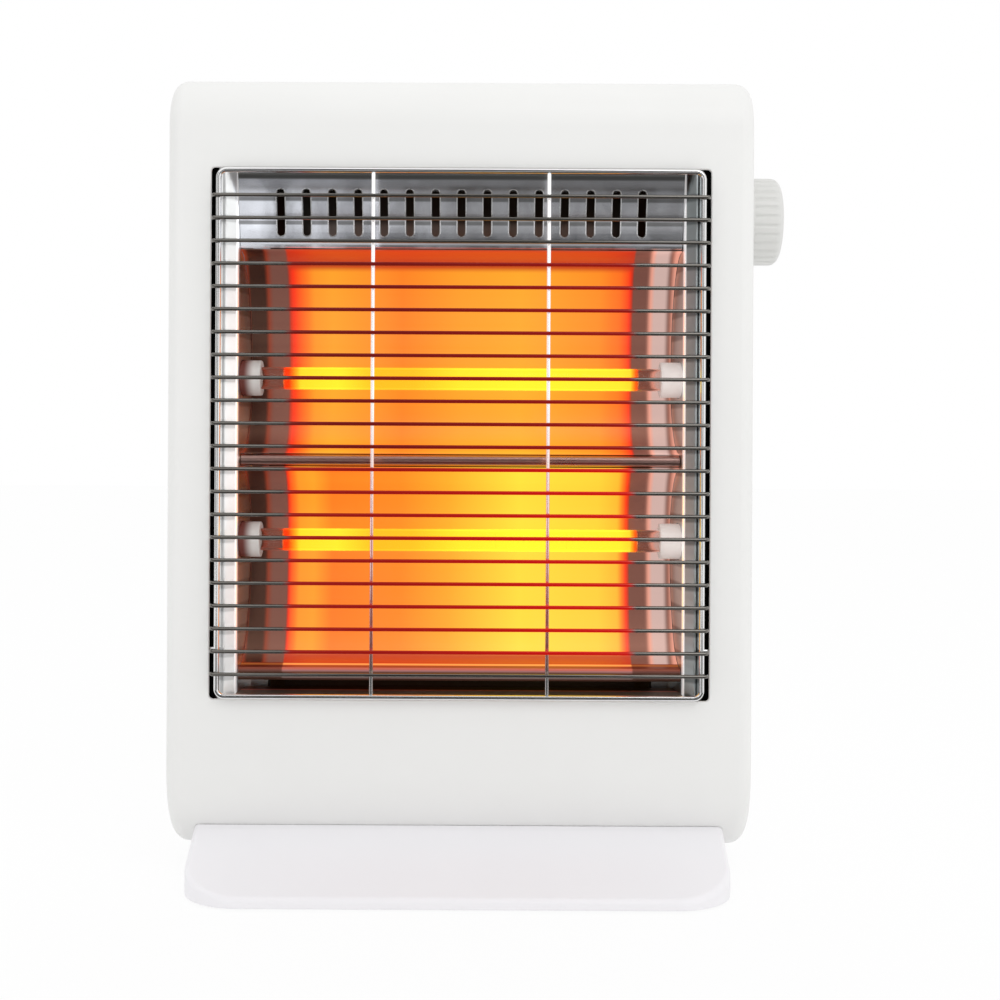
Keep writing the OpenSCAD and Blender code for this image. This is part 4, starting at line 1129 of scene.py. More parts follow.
@dataclass(frozen=True)
class LitQuartz(Finish):
    """Clear quartz round a glowing filament, clear again at its ends.

    Attributes:
        heat: where the filament glows.
    """

    heat: Heat = Heat()

    def detail(self, graph: Graph, shader: bpy.types.Node) -> None:
        """Adds the light along the filament's length."""
        lit, light = self.heat.of_lamp(graph, 1.5, 0.5)
        graph.feed(light, shader, "Emission Color")
        graph.feed(graph.mix(lit, self.colour, Tint.gold), shader, "Base Color")
        shader.inputs["Emission Strength"].default_value = 0.5
        shader.inputs["Transmission Weight"].default_value = 1.0
        shader.inputs["IOR"].default_value = 1.15
        shader.inputs["Specular IOR Level"].default_value = 0.25
        smoke = graph.put("TexNoise", {"Vector": graph.place()[0], "Scale": 60.0, "Detail": 2.0}).outputs[0]
        graph.feed(graph.span(smoke, 0, 1, 0.02, 0.10), shader, "Roughness")


@dataclass(frozen=True)
class HotWire(Finish):
    """The glowing coil and its cooler supports.

    Attributes:
        heat: where it glows.
    """

    heat: Heat = Heat()

    def detail(self, graph: Graph, shader: bpy.types.Node) -> None:
        """Makes the coil glow between its ends."""
        graph.feed(self.heat.of_lamp(graph, 1, 1)[1], shader, "Emission Color")
        shader.inputs["Emission Strength"].default_value = 0.6


@dataclass(frozen=True)
class Ceramic(Finish):
    """Matt white ceramic with pores.

    Attributes:
        shaded_span: the places, left of the middle, between which the painted shade on a left cap ends.
        lit: the places, right of the middle, between which the painted lamp light on a right cap sets in.
        light: how strong that painted light is.
    """

    shaded_span: tuple[float, float] = (-116.0, -110.0)
    lit: tuple[float, float] = (100.0, 110.0)
    light: float = 0.24

    def detail(self, graph: Graph, shader: bpy.types.Node) -> None:
        """Adds pores, painted shade on the left caps and the lamps' light painted on the right ones."""
        sizes = {"Grain": 0.7 * MM, "Wave": 0.012}
        colour = self.surface(graph, shader, moulding_group(), sizes, 0.03, 0.06, 0.10)
        x = graph.place_mm()[0]
        # Painted lamp light on the right caps, as a glow.
        shader.inputs["Emission Color"].default_value = (*Tint.warm_white, 1)
        graph.feed(graph.times(graph.rise(x, *self.lit), self.light), shader, "Emission Strength")
        # Painted shade on the left caps.
        cap_shade = graph.rise(x, *self.shaded_span, 1, 0)
        graph.feed(graph.mix(cap_shade, colour, Tint.cap_shade), shader, "Base Color")


@dataclass(frozen=True)
class Rubber(Finish):
    """Matt rubber and the leads' soft covers."""

    def detail(self, graph: Graph, shader: bpy.types.Node) -> None:
        """Adds a dusty bloom."""
        sizes = {"Grain": 0.5 * MM, "Wave": 0.02}
        self.surface(graph, shader, moulding_group(), sizes, 0.02, 0.08, 0.25)


class Palette:
    """The heater's finishes."""

    casing = MouldedPlastic("casing_white", "casing_plastic", (0.88, 0.88, 0.865), 0.42)
    base = MouldedPlastic("base_white", "base_plastic", (0.93, 0.92, 0.945), 0.40)
    knob = MouldedPlastic("knob_white", "knob_plastic", (0.74, 0.74, 0.72), 0.34, grain=0.6)
    dark = MouldedPlastic("moulded_dark", "dark_plastic", (0.02, 0.02, 0.022), 0.45, relief=0.02)
    wire = SheetMetal("bright_wire", "guard_wire", (0.86, 0.86, 0.86), 0.14, 1.0, relief=0.001)
    # The bars are the same wire as the bright frame, coloured darker as painted shade.
    bar = LampLitBarMetal("shaded_lamp_lit_wire", "guard_wire", (0.20, 0.19, 0.175), 0.16, 1.0, relief=0.001)
    rim = SheetMetal("slot_rim", "mirror_sheet", (0.92, 0.92, 0.92), 0.22, 1.0)
    # The heat shield is the plated steel coloured darker, as painted shade.
    shield = ShadedSteel("shaded_steel", "plated_steel", (0.32, 0.33, 0.30), 0.5, 1.0)
    # The two strips are one sheet: the left coloured lighter as painted light, the right darker as painted
    # shade.
    left_strip = StripMetal(
        "left_strip", "mirror_sheet", (0.96, 0.98, 0.98), 0.32, 1.0, shade=0.35, painted_light=0.19
    )
    right_strip = StripMetal("right_strip", "mirror_sheet", (0.57, 0.62, 0.63), 0.32, 1.0, shade=0.55)
    # The ridge bar is the bright sheet coloured red-brown, as painted lamp light and shade.
    ridge = SheetMetal("ridge_sheet", "mirror_sheet", (0.52, 0.32, 0.28), 0.30, 1.0)
    upright = LitUprightMetal("upright_wire", "guard_wire", (0.80, 0.80, 0.80), 0.2, 1.0, relief=0.001)
    # The louvre's blue tint is a painted reflection.
    mirror = PaintedReflectionMirror("painted_reflection_mirror", "mirror_sheet", (0.90, 0.92, 1.0), 0.22, 1.0, cloud=14, tint=0.30)
    steel = SheetMetal("zinc_plate", "plated_steel", (0.58, 0.59, 0.60), 0.32, 1.0, patches=0.10)
    brass = SheetMetal("brass_sheet", "tab_brass", (0.62, 0.42, 0.14), 0.28, 1.0)
    trough = LitTrough("lit_trough", "trough_sheet", (0.16, 0.085, 0.06), 0.34, 1.0)
    # The shelf is the bright sheet coloured darker, as painted shade.
    dull_and_shaded = ShelfMetal("dull_shaded_sheet", "mirror_sheet", (0.34, 0.32, 0.30), 0.45, 1.0)
    quartz = LitQuartz("lit_quartz", "lamp_glass", (0.90, 0.84, 0.82), 0.04)
    hot_wire = HotWire("hot_wire", "filament_wire", (0.35, 0.34, 0.33), 0.4, 1.0)
    ceramic = Ceramic("fired_ceramic", "white_ceramic", (0.80, 0.77, 0.74), 0.62)
    rubber = Rubber("foot_rubber", "black_rubber", (0.012, 0.012, 0.012), 0.75)
    red = Rubber("red_sleeve", "red_cover", (0.35, 0.012, 0.01), 0.5)
    blue = Rubber("blue_sleeve", "blue_cover", (0.012, 0.05, 0.25), 0.5)
    black = Rubber("black_sleeve", "black_cover", (0.012, 0.012, 0.012), 0.5)


# ---------- The heater's sub-assemblies ----------


@dataclass
class Casing:
    """The white casing: a front shell with the window and a rear shell with vents and grip."""

    half_width: float = 155
    front: float = -35
    back: float = 65
    low: float = 11.5
    top: float = 426
    seam: float = 25
    seam_gap: float = 0.3
    front_wall: float = 2.5
    rear_wall: float = 3.0
    side_round: float = 8
    corner_rounds: tuple[float, float, float, float] = (28, 45, 24, 30)
    window_half: float = 131.5
    window_low: float = 96
    window_top: float = WINDOW_TOP
    window_corner: float = 2.0
    vent: tuple[float, float] = (34, 3.5)
    vent_pitch: tuple[float, float] = (44, 8)
    vent_columns: int = 5
    vent_fields: tuple[tuple[float, int], ...] = ((288.5, 8), (120, 6))
    grip_half: float = 55
    grip_low: float = 365
    grip_mouth_top: float = 387
    grip_top: float = 397
    grip_depth: float = 26
    screw_x: float = 137
    screw_z: tuple[float, float] = (67.5, 393)
    well_d: float = 10
    well_y: tuple[float, float] = (44.6, 38)
    drills: tuple[tuple[float, float], ...] = ((6.6, 31), (3.2, 20))
    gland: tuple[float, float] = (-101, 55.5)
    gland_d: float = 14
    shaft_hole: float = 10

    def form(self, name: str, grow: float = 0) -> Workpiece:
        """Shapes the whole casing as one closed block.

        Args:
            name: the block's name.
            grow: how far it stands out past the real casing.

        Returns:
            The rounded block.
        """
        x, front, back = self.half_width + grow, self.front - grow, self.back + grow
        low, top = self.low - grow, self.top + grow
        piece = Workpiece.block(name, (-x, front, low), (x, back, top))
        corners = ((front, top), (front, low), (back, top), (back, low))
        for (y, z), radius in zip(corners, self.corner_rounds):
            piece.select(
                Pick.EDGE, lambda c, n, y=y, z=z: abs(n.x) > 0.99 and math.hypot(c.y - y, c.z - z) < 0.1
            )
            piece.bevel(radius + grow, 14)
        piece.select_corners(50, lambda c, n: abs(abs(c.x) - x) < 0.1)
        piece.bevel(self.side_round + grow, 6)
        return piece

    def _at_window(self, place: Vector) -> bool:
        """Says whether a place in the front wall lies within or at the window."""
        within = self.window_low - 1 < place.z < self.window_top + 1
        return within and abs(place.x) < self.window_half + 1 and place.y < self.front + 5

    def front_shell(self) -> None:
        """Cuts the front shell with its window."""
        piece = self.form("front_casing_shell")
        piece.cut((0, self.seam, 0), (0, 1, 0))
        for side in (-1, 1):
            piece.cut((side * self.window_half, 0, 0), (1, 0, 0), drop=False)
        for z in (self.window_low, self.window_top):
            piece.cut((0, 0, z), (0, 0, 1), drop=False)
        middle = (self.window_low + self.window_top) / 2
        piece.select(Pick.FACE, lambda c, n: n.y < -0.9 and abs(c.x) < 1 and abs(c.z - middle) < 1)
        piece.delete(Pick.FACE)
        piece.mend()
        piece.thicken(self.front_wall)
        piece.select_corners(60, lambda c, n: abs(n.y) > 0.9 and self._at_window(c))
        piece.bevel(self.window_corner, 4)
        piece.select_corners(60, lambda c, n: abs(n.y) < 0.2 and self._at_window(c))
        piece.bevel(0.8, 3)
        piece.select_corners(60, lambda c, n: c.y > self.seam - 0.5)
        piece.bevel(0.35, 2)
        shaft = (self.half_width, KNOB_Y, KNOB_Z)
        piece.combine(Workpiece.rod("knob_hole", shaft, self.shaft_hole, 12, Axis.X))
        piece.complete(Palette.casing, stands_for=["front_casing"])

    def vents(self, low: float, rows: int) -> Workpiece:
        """Makes the cutter for one field of vents.

        Args:
            low: the height of the lowest vent's lower edge.
            rows: how many rows it has.

        Returns:
            The cutter.
        """
        long, wide = self.vent
        x0 = -(self.vent_columns - 1) / 2 * self.vent_pitch[0] - long / 2
        cutter = Workpiece.block("vent", (x0, self.back - 8, low), (x0 + long, self.back + 4, low + wide))
        cutter.select(Pick.EDGE, lambda c, n: abs(n.y) > 0.9)
        cutter.bevel(wide / 2 - 0.05, 4)
        cutter.repeat(self.vent_columns, x=self.vent_pitch[0])
        cutter.repeat(rows, z=self.vent_pitch[1])
        return cutter

    def at_screws(self, name: str, d: float, y: float, length: float) -> Workpiece:
        """Makes a round bar at each of the four rear screws.

        Args:
            name: the bars' name.
            d: their diameter.
            y: the depth of their middles.
            length: their length.

        Returns:
            The four bars as one piece.
        """
        bars = Workpiece.rod(name, (-self.screw_x, y, self.screw_z[0]), d, length, Axis.Y)
        bars.repeat(2, z=self.screw_z[1] - self.screw_z[0])
        bars.repeat(2, x=2 * self.screw_x)
        return bars

    def rear_shell(self) -> None:
        """Cuts the rear shell with its vents, grip recess, screw wells and gland hole."""
        piece = self.form("rear_casing_shell")
        piece.cut((0, self.seam + self.seam_gap, 0), (0, -1, 0))
        piece.mend()
        piece.thicken(self.rear_wall)
        piece.select_corners(60, lambda c, n: c.y < self.seam + 1)
        piece.bevel(0.35, 2)
        inner = self.back - self.grip_depth
        wall = self.rear_wall
        piece.combine(
            Workpiece.block(
                "grip_box",
                (-self.grip_half - wall, inner - wall, self.grip_low - wall),
                (self.grip_half + wall, self.back - 1, self.grip_top + wall),
            ),
            "UNION",
        )
        piece.combine(self.at_screws("wells", self.well_d, *self.well_y), "UNION")
        hollow = Workpiece.block(
            "grip_hollow",
            (-self.grip_half, inner, self.grip_low),
            (self.grip_half, self.back - wall, self.grip_top),
        )
        hollow.select_corners(60)
        hollow.bevel(3, 3)
        piece.combine(hollow)
        mouth = Workpiece.block(
            "grip_mouth",
            (-self.grip_half, self.back - 8, self.grip_low),
            (self.grip_half, self.back + 5, self.grip_mouth_top),
        )
        mouth.select(Pick.EDGE, lambda c, n: abs(n.y) > 0.9)
        mouth.bevel(6, 5)
        piece.combine(mouth)
        for low, rows in self.vent_fields:
            piece.combine(self.vents(low, rows))
        for d, bottom in self.drills:
            piece.combine(self.at_screws("drills", d, bottom + 25, 50))
        x, z = self.gland
        piece.combine(Workpiece.rod("gland_hole", (x, self.back, z), self.gland_d, 20, Axis.Y))
        piece.select_corners(
            60, lambda c, n: c.y > self.back - 0.2 and self.grip_low - 2 < c.z < self.grip_mouth_top + 2
        )
        piece.bevel(1.0, 3)
        piece.complete(Palette.casing, stands_for=["rear_casing"])


@dataclass
class Base:
    """The low wedge base with the seat for the casing."""

    half_middle: float = 141.5
    half_end: float = 138.5
    half_depth: float = 86
    corner: float = 30
    rim: float = 1
    edge_height: float = 6
    top: float = 28.5
    flat: tuple[float, float] = (-22, 52)
    edge_round: float = 3
    wall: float = 2.5
    fit: float = 0.3
    plunger_y: float = 15
    plunger_hole: float = 10

    def build(self, casing: Casing) -> None:
        """Shapes the shell and cuts the casing's seat into it.

        Args:
            casing: the casing that stands in the base.
        """
        x, y = self.half_middle, self.half_depth
        piece = Workpiece.block("base_shell_smooth", (-x, -y, self.rim), (x, y, self.top))
        for side in (-1, 1):
            for end in (-1, 1):
                slant = (side * y, end * (x - self.half_end), 0)
                piece.cut((side * x, 0, 0), slant, cap=True)
        piece.select(Pick.EDGE, lambda c, n: abs(n.z) > 0.9 and abs(c.y) > y - 2)
        piece.bevel(self.corner, 14)
        rise = self.top - self.edge_height
        piece.cut((0, self.flat[0], self.top), (0, -rise, y + self.flat[0]), cap=True)
        piece.cut((0, self.flat[1], self.top), (0, rise, y - self.flat[1]), cap=True)
        piece.select_corners(40, lambda c, n: c.z > self.rim + 1 and abs(n.z) < 0.9)
        piece.bevel(self.edge_round, 5)
        piece.combine(casing.form("seat", self.fit))
        piece.select(Pick.FACE, lambda c, n: n.z < -0.9 and c.z < self.rim + 0.2)
        piece.delete(Pick.FACE)
        piece.thicken(self.wall)
        piece.select_corners(60, lambda c, n: c.z < self.rim + 0.1)
        piece.bevel(0.5, 2)
        piece.combine(Workpiece.rod("plunger_hole", (0, self.plunger_y, 14), self.plunger_hole, 14, Axis.Z))
        piece.complete(Palette.base, stands_for=["base_shell"])


@dataclass
class Guard:
    """The wire guard: bars bent round a closed frame, and two uprights behind them."""

    middle: float = 235.75
    half_height: float = 137.85
    frame_x: float = 127
    frame_y: float = -38.5
    frame_d: float = 2.8
    frame_round: float = 4
    bar_y: float = -41
    bar_d: float = 2
    bar_count: int = 22
    top_gap: float = 1.5
    bar_bend: float = 75
    bar_tip: float = 1.6
    bend_radius: float = 1.5
    tip_round: float = 0.3
    gap: float = 0.1
    upright_x: float = 46
    upright_y: float = -38.9
    hook_y: float = -31
    hook_d: float = 2.4
    hook_reach: float = 7
    hook_bend: float = 1.5
    hook_start: float = 0.6
    hook_z: tuple[float, float] = (122, 349.5)

    def bars(self) -> None:
        """Draws one bar with its bent ends, and repeats it up the window."""
        pitch = (2 * self.half_height - self.top_gap) / (self.bar_count + 1)
        z = self.middle - self.half_height + pitch
        straight = self.frame_x + (self.frame_d + self.bar_d) / 2 + self.gap - self.bend_radius
        piece = wire("guard_bar_wires", (0, self.bar_y, z), self.bar_d, Axis.X)
        piece.extrude(x=straight)
        centre = (straight, self.bar_y + self.bend_radius, z)
        piece.spin(centre, (0, 0, 1), self.bar_bend, 5)
        turn = math.radians(self.bar_bend)
        piece.extrude(x=self.bar_tip * math.cos(turn), y=self.bar_tip * math.sin(turn))
        piece.both_sides()
        piece.mend()
        piece.close()
        piece.select_corners(60)
        piece.bevel(self.tip_round, 2)
        piece.mend()
        piece.repeat(self.bar_count, z=pitch)
        piece.complete(Palette.bar, stands_for=["guard_bars"], sharp=50, level=False)

    def frame(self) -> None:
        """Draws the closed frame wire with its four hooks."""
        x, z, r = self.frame_x, self.half_height, self.frame_round
        y, mid = self.frame_y, self.middle
        piece = wire("guard_frame_wire", (0, y, mid + z), self.frame_d, Axis.X, 16)
        piece.extrude(x=x - r)
        piece.spin((x - r, y, mid + z - r), (0, 1, 0), 90, 8)
        piece.extrude(z=-2 * (z - r))
        piece.spin((x - r, y, mid - z + r), (0, 1, 0), 90, 8)
        piece.extrude(x=r - x)
        piece.both_sides()
        piece.mend()
        hooks = []
        for height in self.hook_z:
            start = y + self.hook_start
            bend = self.hook_y - self.hook_bend
            hook = wire("hook", (x, start, height), self.hook_d, Axis.Y)
            hook.extrude(y=bend - start)
            hook.spin((x + self.hook_bend, bend, height), (0, 0, 1), -90, 5)
            hook.extrude(x=self.hook_reach - self.hook_bend)
            hook.mend()
            hook.close()
            hook.both_sides()
            hook.mend()
            hooks.append(hook)
        piece.join(*hooks)
        piece.complete(Palette.wire, stands_for=["guard_frame"], sharp=50, level=False)

    def uprights(self) -> None:
        """Draws the two uprights."""
        half = self.half_height - self.frame_d / 2 - self.gap
        foot = (self.upright_x, self.upright_y, self.middle - half)
        piece = wire("guard_upright_wires", foot, self.bar_d, Axis.Z)
        piece.extrude(z=2 * half)
        piece.close()
        piece.select_corners(60)
        piece.bevel(self.tip_round, 2)
        piece.both_sides()
        piece.mend()
        piece.complete(Palette.upright, stands_for=["guard_uprights"], sharp=50, level=False)


@dataclass
class LampBox:
    """The bright sheets behind the guard: side plates, louvre panel, shelf, troughs and ridge bar."""

    sheet_half: float = 130
    sheet_front: float = -31.8
    plate_low: float = 90
    plate_top: float = 381.5
    plate_wall: float = 0.8
    strip: tuple[float, float] = (118.7, -26)
    flange_y: float = -28.8
    strip_out: float = 125.7
    flange_out: float = 147
    flare: tuple[float, float] = (1.2, 2.4)
    rear_y: float = 2.3
    rear_flange: float = 10
    taper: float = 7
    lip_y: float = -23
    deep_y: float = 1
    near_lip: float = 3.5
    wall: float = 0.6
    rim: tuple[tuple[float, float], ...] = (
        (-0.5, -0.5), (-0.8, -0.9), (-0.8, -5.9), (-0.4, -6.5), (1, -6.8),
    )
    ridge_height: float = 7
    ridge_inset: float = 2
    ridge_leg: float = 12
    louvre_bend: float = 1.7
    louvre_steps: int = 16
    slots: int = 15
    slot_pitch: float = 13.7
    slot: tuple[float, float] = (4.2, 24)
    slot_rim: float = 0.6
    slot_depth: float = 3.1
    slot_punch: tuple[float, float] = (-36, -16)
    cap_hole: float = 20
    shelf_z: float = 98
    shelf_depth: float = 24
    shelf_drop: tuple[float, float] = (10, 5)

    def plate_x(self, y: float) -> float:
        """Gives the side plates' distance from the middle at a depth."""
        return self.strip[0] - (y - self.strip[1]) * math.tan(math.radians(self.taper))

    def trim(self, piece: Workpiece, gap: float = 0.7) -> None:
        """Trims a sheet's ends to the side plates.

        Args:
            piece: the sheet, drawn out past the plates.
            gap: its distance from the middle of the plates' sheet.
        """
        slope = math.tan(math.radians(self.taper))
        for side in (-1, 1):
            piece.cut((side * (self.plate_x(0) - gap), 0, 0), (side, slope, 0))
            piece.cut((side * (self.strip[0] - gap), 0, 0), (side, 0, 0))

    def side_plates(self) -> None:
        """Folds the side plates with their satin strips."""
        for side, name in ((-1, "left"), (1, "right")):
            x, y = self.strip
            back = self.plate_x(self.rear_y)
            path = [
                (self.strip_out, self.flange_y),
                (self.strip_out - self.flare[0], self.flange_y - self.flare[1]),
                (x, y),
                (back, self.rear_y),
                (back - self.rear_flange, self.rear_y),
            ]
            piece = fold(
                f"side_plate_{name}_sheet",
                (side * self.flange_out, self.flange_y, self.plate_low),
                (side * self.flange_out, self.flange_y, self.plate_top),
                [(side * px, py) for px, py in path],
                "xy",
            )
            piece.select_corners(20, lambda c, n: abs(n.z) > 0.9)
            piece.bevel(0.8, 3)
            piece.mend()
            piece.thicken(self.plate_wall, 0)
            for z in (UPPER_LAMP, LOWER_LAMP):
                centre = (side * self.plate_x(LAMP_Y), LAMP_Y, z)
                piece.combine(Workpiece.rod("cap_hole", centre, self.cap_hole, 16, Axis.X, 48))
            strip = Palette.left_strip if side < 0 else Palette.right_strip
            piece.complete(strip, stands_for=[f"side_plate_{name}"])

    def ellipse(
        self, lamp: float, reach: float, lip: float, steps: int = 20
    ) -> list[tuple[float, float]]:
        """Gives half a trough's curve, from its deepest line to its lip.

        Args:
            lamp: the height of its lamp.
            reach: its height from the lamp to the lip, negative downwards.
            lip: the depth of the lip.
            steps: how many straight steps it takes.

        Returns:
            The points in Y and Z.
        """
        turns = [math.pi / 2 * i / steps for i in range(steps + 1)]
        return [(lip + (self.deep_y - lip) * math.cos(t), lamp + reach * math.sin(t)) for t in turns]

    def trough(self, name: str, curve: list[tuple[float, float]], node: str) -> None:
        """Folds one reflector along its curve.

        Args:
            name: the piece's name.
            curve: its points in Y and Z.
            node: the CAD node that it stands for.
        """
        (y, z), rest = curve[0], curve[1:]
        piece = fold(name, (-self.sheet_half, y, z), (self.sheet_half, y, z), rest, "yz")
        self.trim(piece)
        piece.mend()
        piece.thicken(self.wall, 0)
        piece.complete(
            Palette.trough, stands_for=[node], sharp=40, level=False, hidden_from=["diffuse"]
        )

    def troughs(self) -> None:
        """Folds both reflectors, the lower one with its rim."""
        top, low = RIDGE + self.ridge_height / 2, RIDGE - self.ridge_height / 2
        near_y = self.lip_y + self.near_lip
        far = self.ellipse(UPPER_LAMP, UPPER_LIP - UPPER_LAMP, self.lip_y)
        near = self.ellipse(UPPER_LAMP, top - UPPER_LAMP + self.wall / 2, near_y)
        self.trough("upper_trough_sheet", far[::-1] + near[1:], "upper_reflector")
        near = self.ellipse(LOWER_LAMP, low - LOWER_LAMP - self.wall / 2, near_y)
        far = self.ellipse(LOWER_LAMP, LOWER_LIP - LOWER_LAMP - self.wall / 2, self.lip_y)
        rim = [(self.lip_y + y, LOWER_LIP + z) for y, z in self.rim]
        self.trough("lower_trough_sheet", near[::-1] + far[1:] + rim, "lower_reflector")

    def ridge_bar(self) -> None:
        """Folds the rounded bar between the troughs."""
        half = self.ridge_height / 2 - self.wall - 0.3
        nose = self.lip_y + self.ridge_inset + half
        turns = [math.radians(a) for a in range(90, 271, 12)]
        path = [(nose + half * math.cos(t), RIDGE + half * math.sin(t)) for t in turns]
        path.append((nose + self.ridge_leg, RIDGE - half))
        start = (nose + self.ridge_leg, RIDGE + half)
        piece = fold("ridge_bar_sheet", (-self.sheet_half, *start), (self.sheet_half, *start), path, "yz")
        self.trim(piece)
        piece.mend()
        piece.thicken(self.plate_wall, 0)
        piece.complete(Palette.ridge, stands_for=["ridge_bar"], sharp=40, level=False)

    def louvre(self) -> None:
        """Folds the louvre panel and gives each slot its turned-in rim."""
        top_y = self.sheet_front
        foot = UPPER_LIP + self.wall + 0.3 + self.plate_wall
        rise = WINDOW_TOP - 1.5 - foot
        deep = self.lip_y - 0.4
        path = []
        for i in range(self.louvre_steps + 1):
            t = i / self.louvre_steps
            bent = 1 - (1 - t) ** self.louvre_bend
            path.append((top_y + (deep - top_y) * bent, foot + rise * (1 - t)))
        path += [(deep + 0.5, foot - 0.25), (deep + 1.8, foot - 0.3)]
        start = (top_y, WINDOW_TOP + 8)
        sheet = fold("louvre_sheet", (-self.sheet_half, *start), (self.sheet_half, *start), path, "yz")
        self.trim(sheet)
        sheet.mend()
        slab = sheet.copy("slot_slab")
        slab.thicken(self.slot_depth, 0.55 if self._faces_back(sheet) else -0.55)
        sheet.thicken(self.plate_wall, 0)
        wide, long = self.slot
        z = foot + rise / 2 - 1.8
        x0 = -(self.slots - 1) / 2 * self.slot_pitch
        outer = self._slot_tool(x0, z, wide + 2 * self.slot_rim, long + 2 * self.slot_rim)
        inner = self._slot_tool(x0, z, wide, long)
        hole = inner.copy("slot_hole")
        outer.combine(inner)
        for tool in (outer, hole):
            tool.repeat(self.slots, x=self.slot_pitch)
        slab.combine(outer, "INTERSECT")
        sheet.combine(hole)
        slab.select_corners(60)
        slab.bevel(0.15, 2)
        slab.complete(Palette.rim, sharp=35)
        sheet.complete(Palette.mirror, stands_for=["louvre_panel"], sharp=35)

    def _faces_back(self, sheet: Workpiece) -> bool:
        """Says whether a sheet's faces point to the heater's back."""
        sheet.rest()
        return sum(face.normal.y * face.area for face in sheet.item.data.polygons) > 0

    def _slot_tool(self, x: float, z: float, wide: float, long: float) -> Workpiece:
        """Makes a long round-ended punch for one slot."""
        front, back = self.slot_punch
        low, high = (x - wide / 2, front, z - long / 2), (x + wide / 2, back, z + long / 2)
        tool = Workpiece.block("slot", low, high)
        tool.select(Pick.EDGE, lambda c, n: abs(n.y) > 0.9)
        tool.bevel(wide / 2 - 0.02, 6)
        return tool

    def shelf(self) -> None:
        """Folds the bottom shelf behind the window's lower edge."""
        front, z = self.sheet_front, self.shelf_z
        back = front + self.shelf_depth
        start = (front, z - self.shelf_drop[0])
        path = [(front, z - 0.8), (front + 0.3, z - 0.3), (front + 0.8, z), (back, z)]
        path.append((back, z - self.shelf_drop[1]))
        piece = fold("shelf_sheet", (-self.sheet_half, *start), (self.sheet_half, *start), path, "yz")
        self.trim(piece)
        piece.mend()
        piece.thicken(self.plate_wall, 0)
        piece.complete(Palette.dull_and_shaded, stands_for=["bottom_shelf"])

    def build(self) -> None:
        """Builds every sheet."""
        self.side_plates()
        self.troughs()
        self.ridge_bar()
        self.louvre()
        self.shelf()


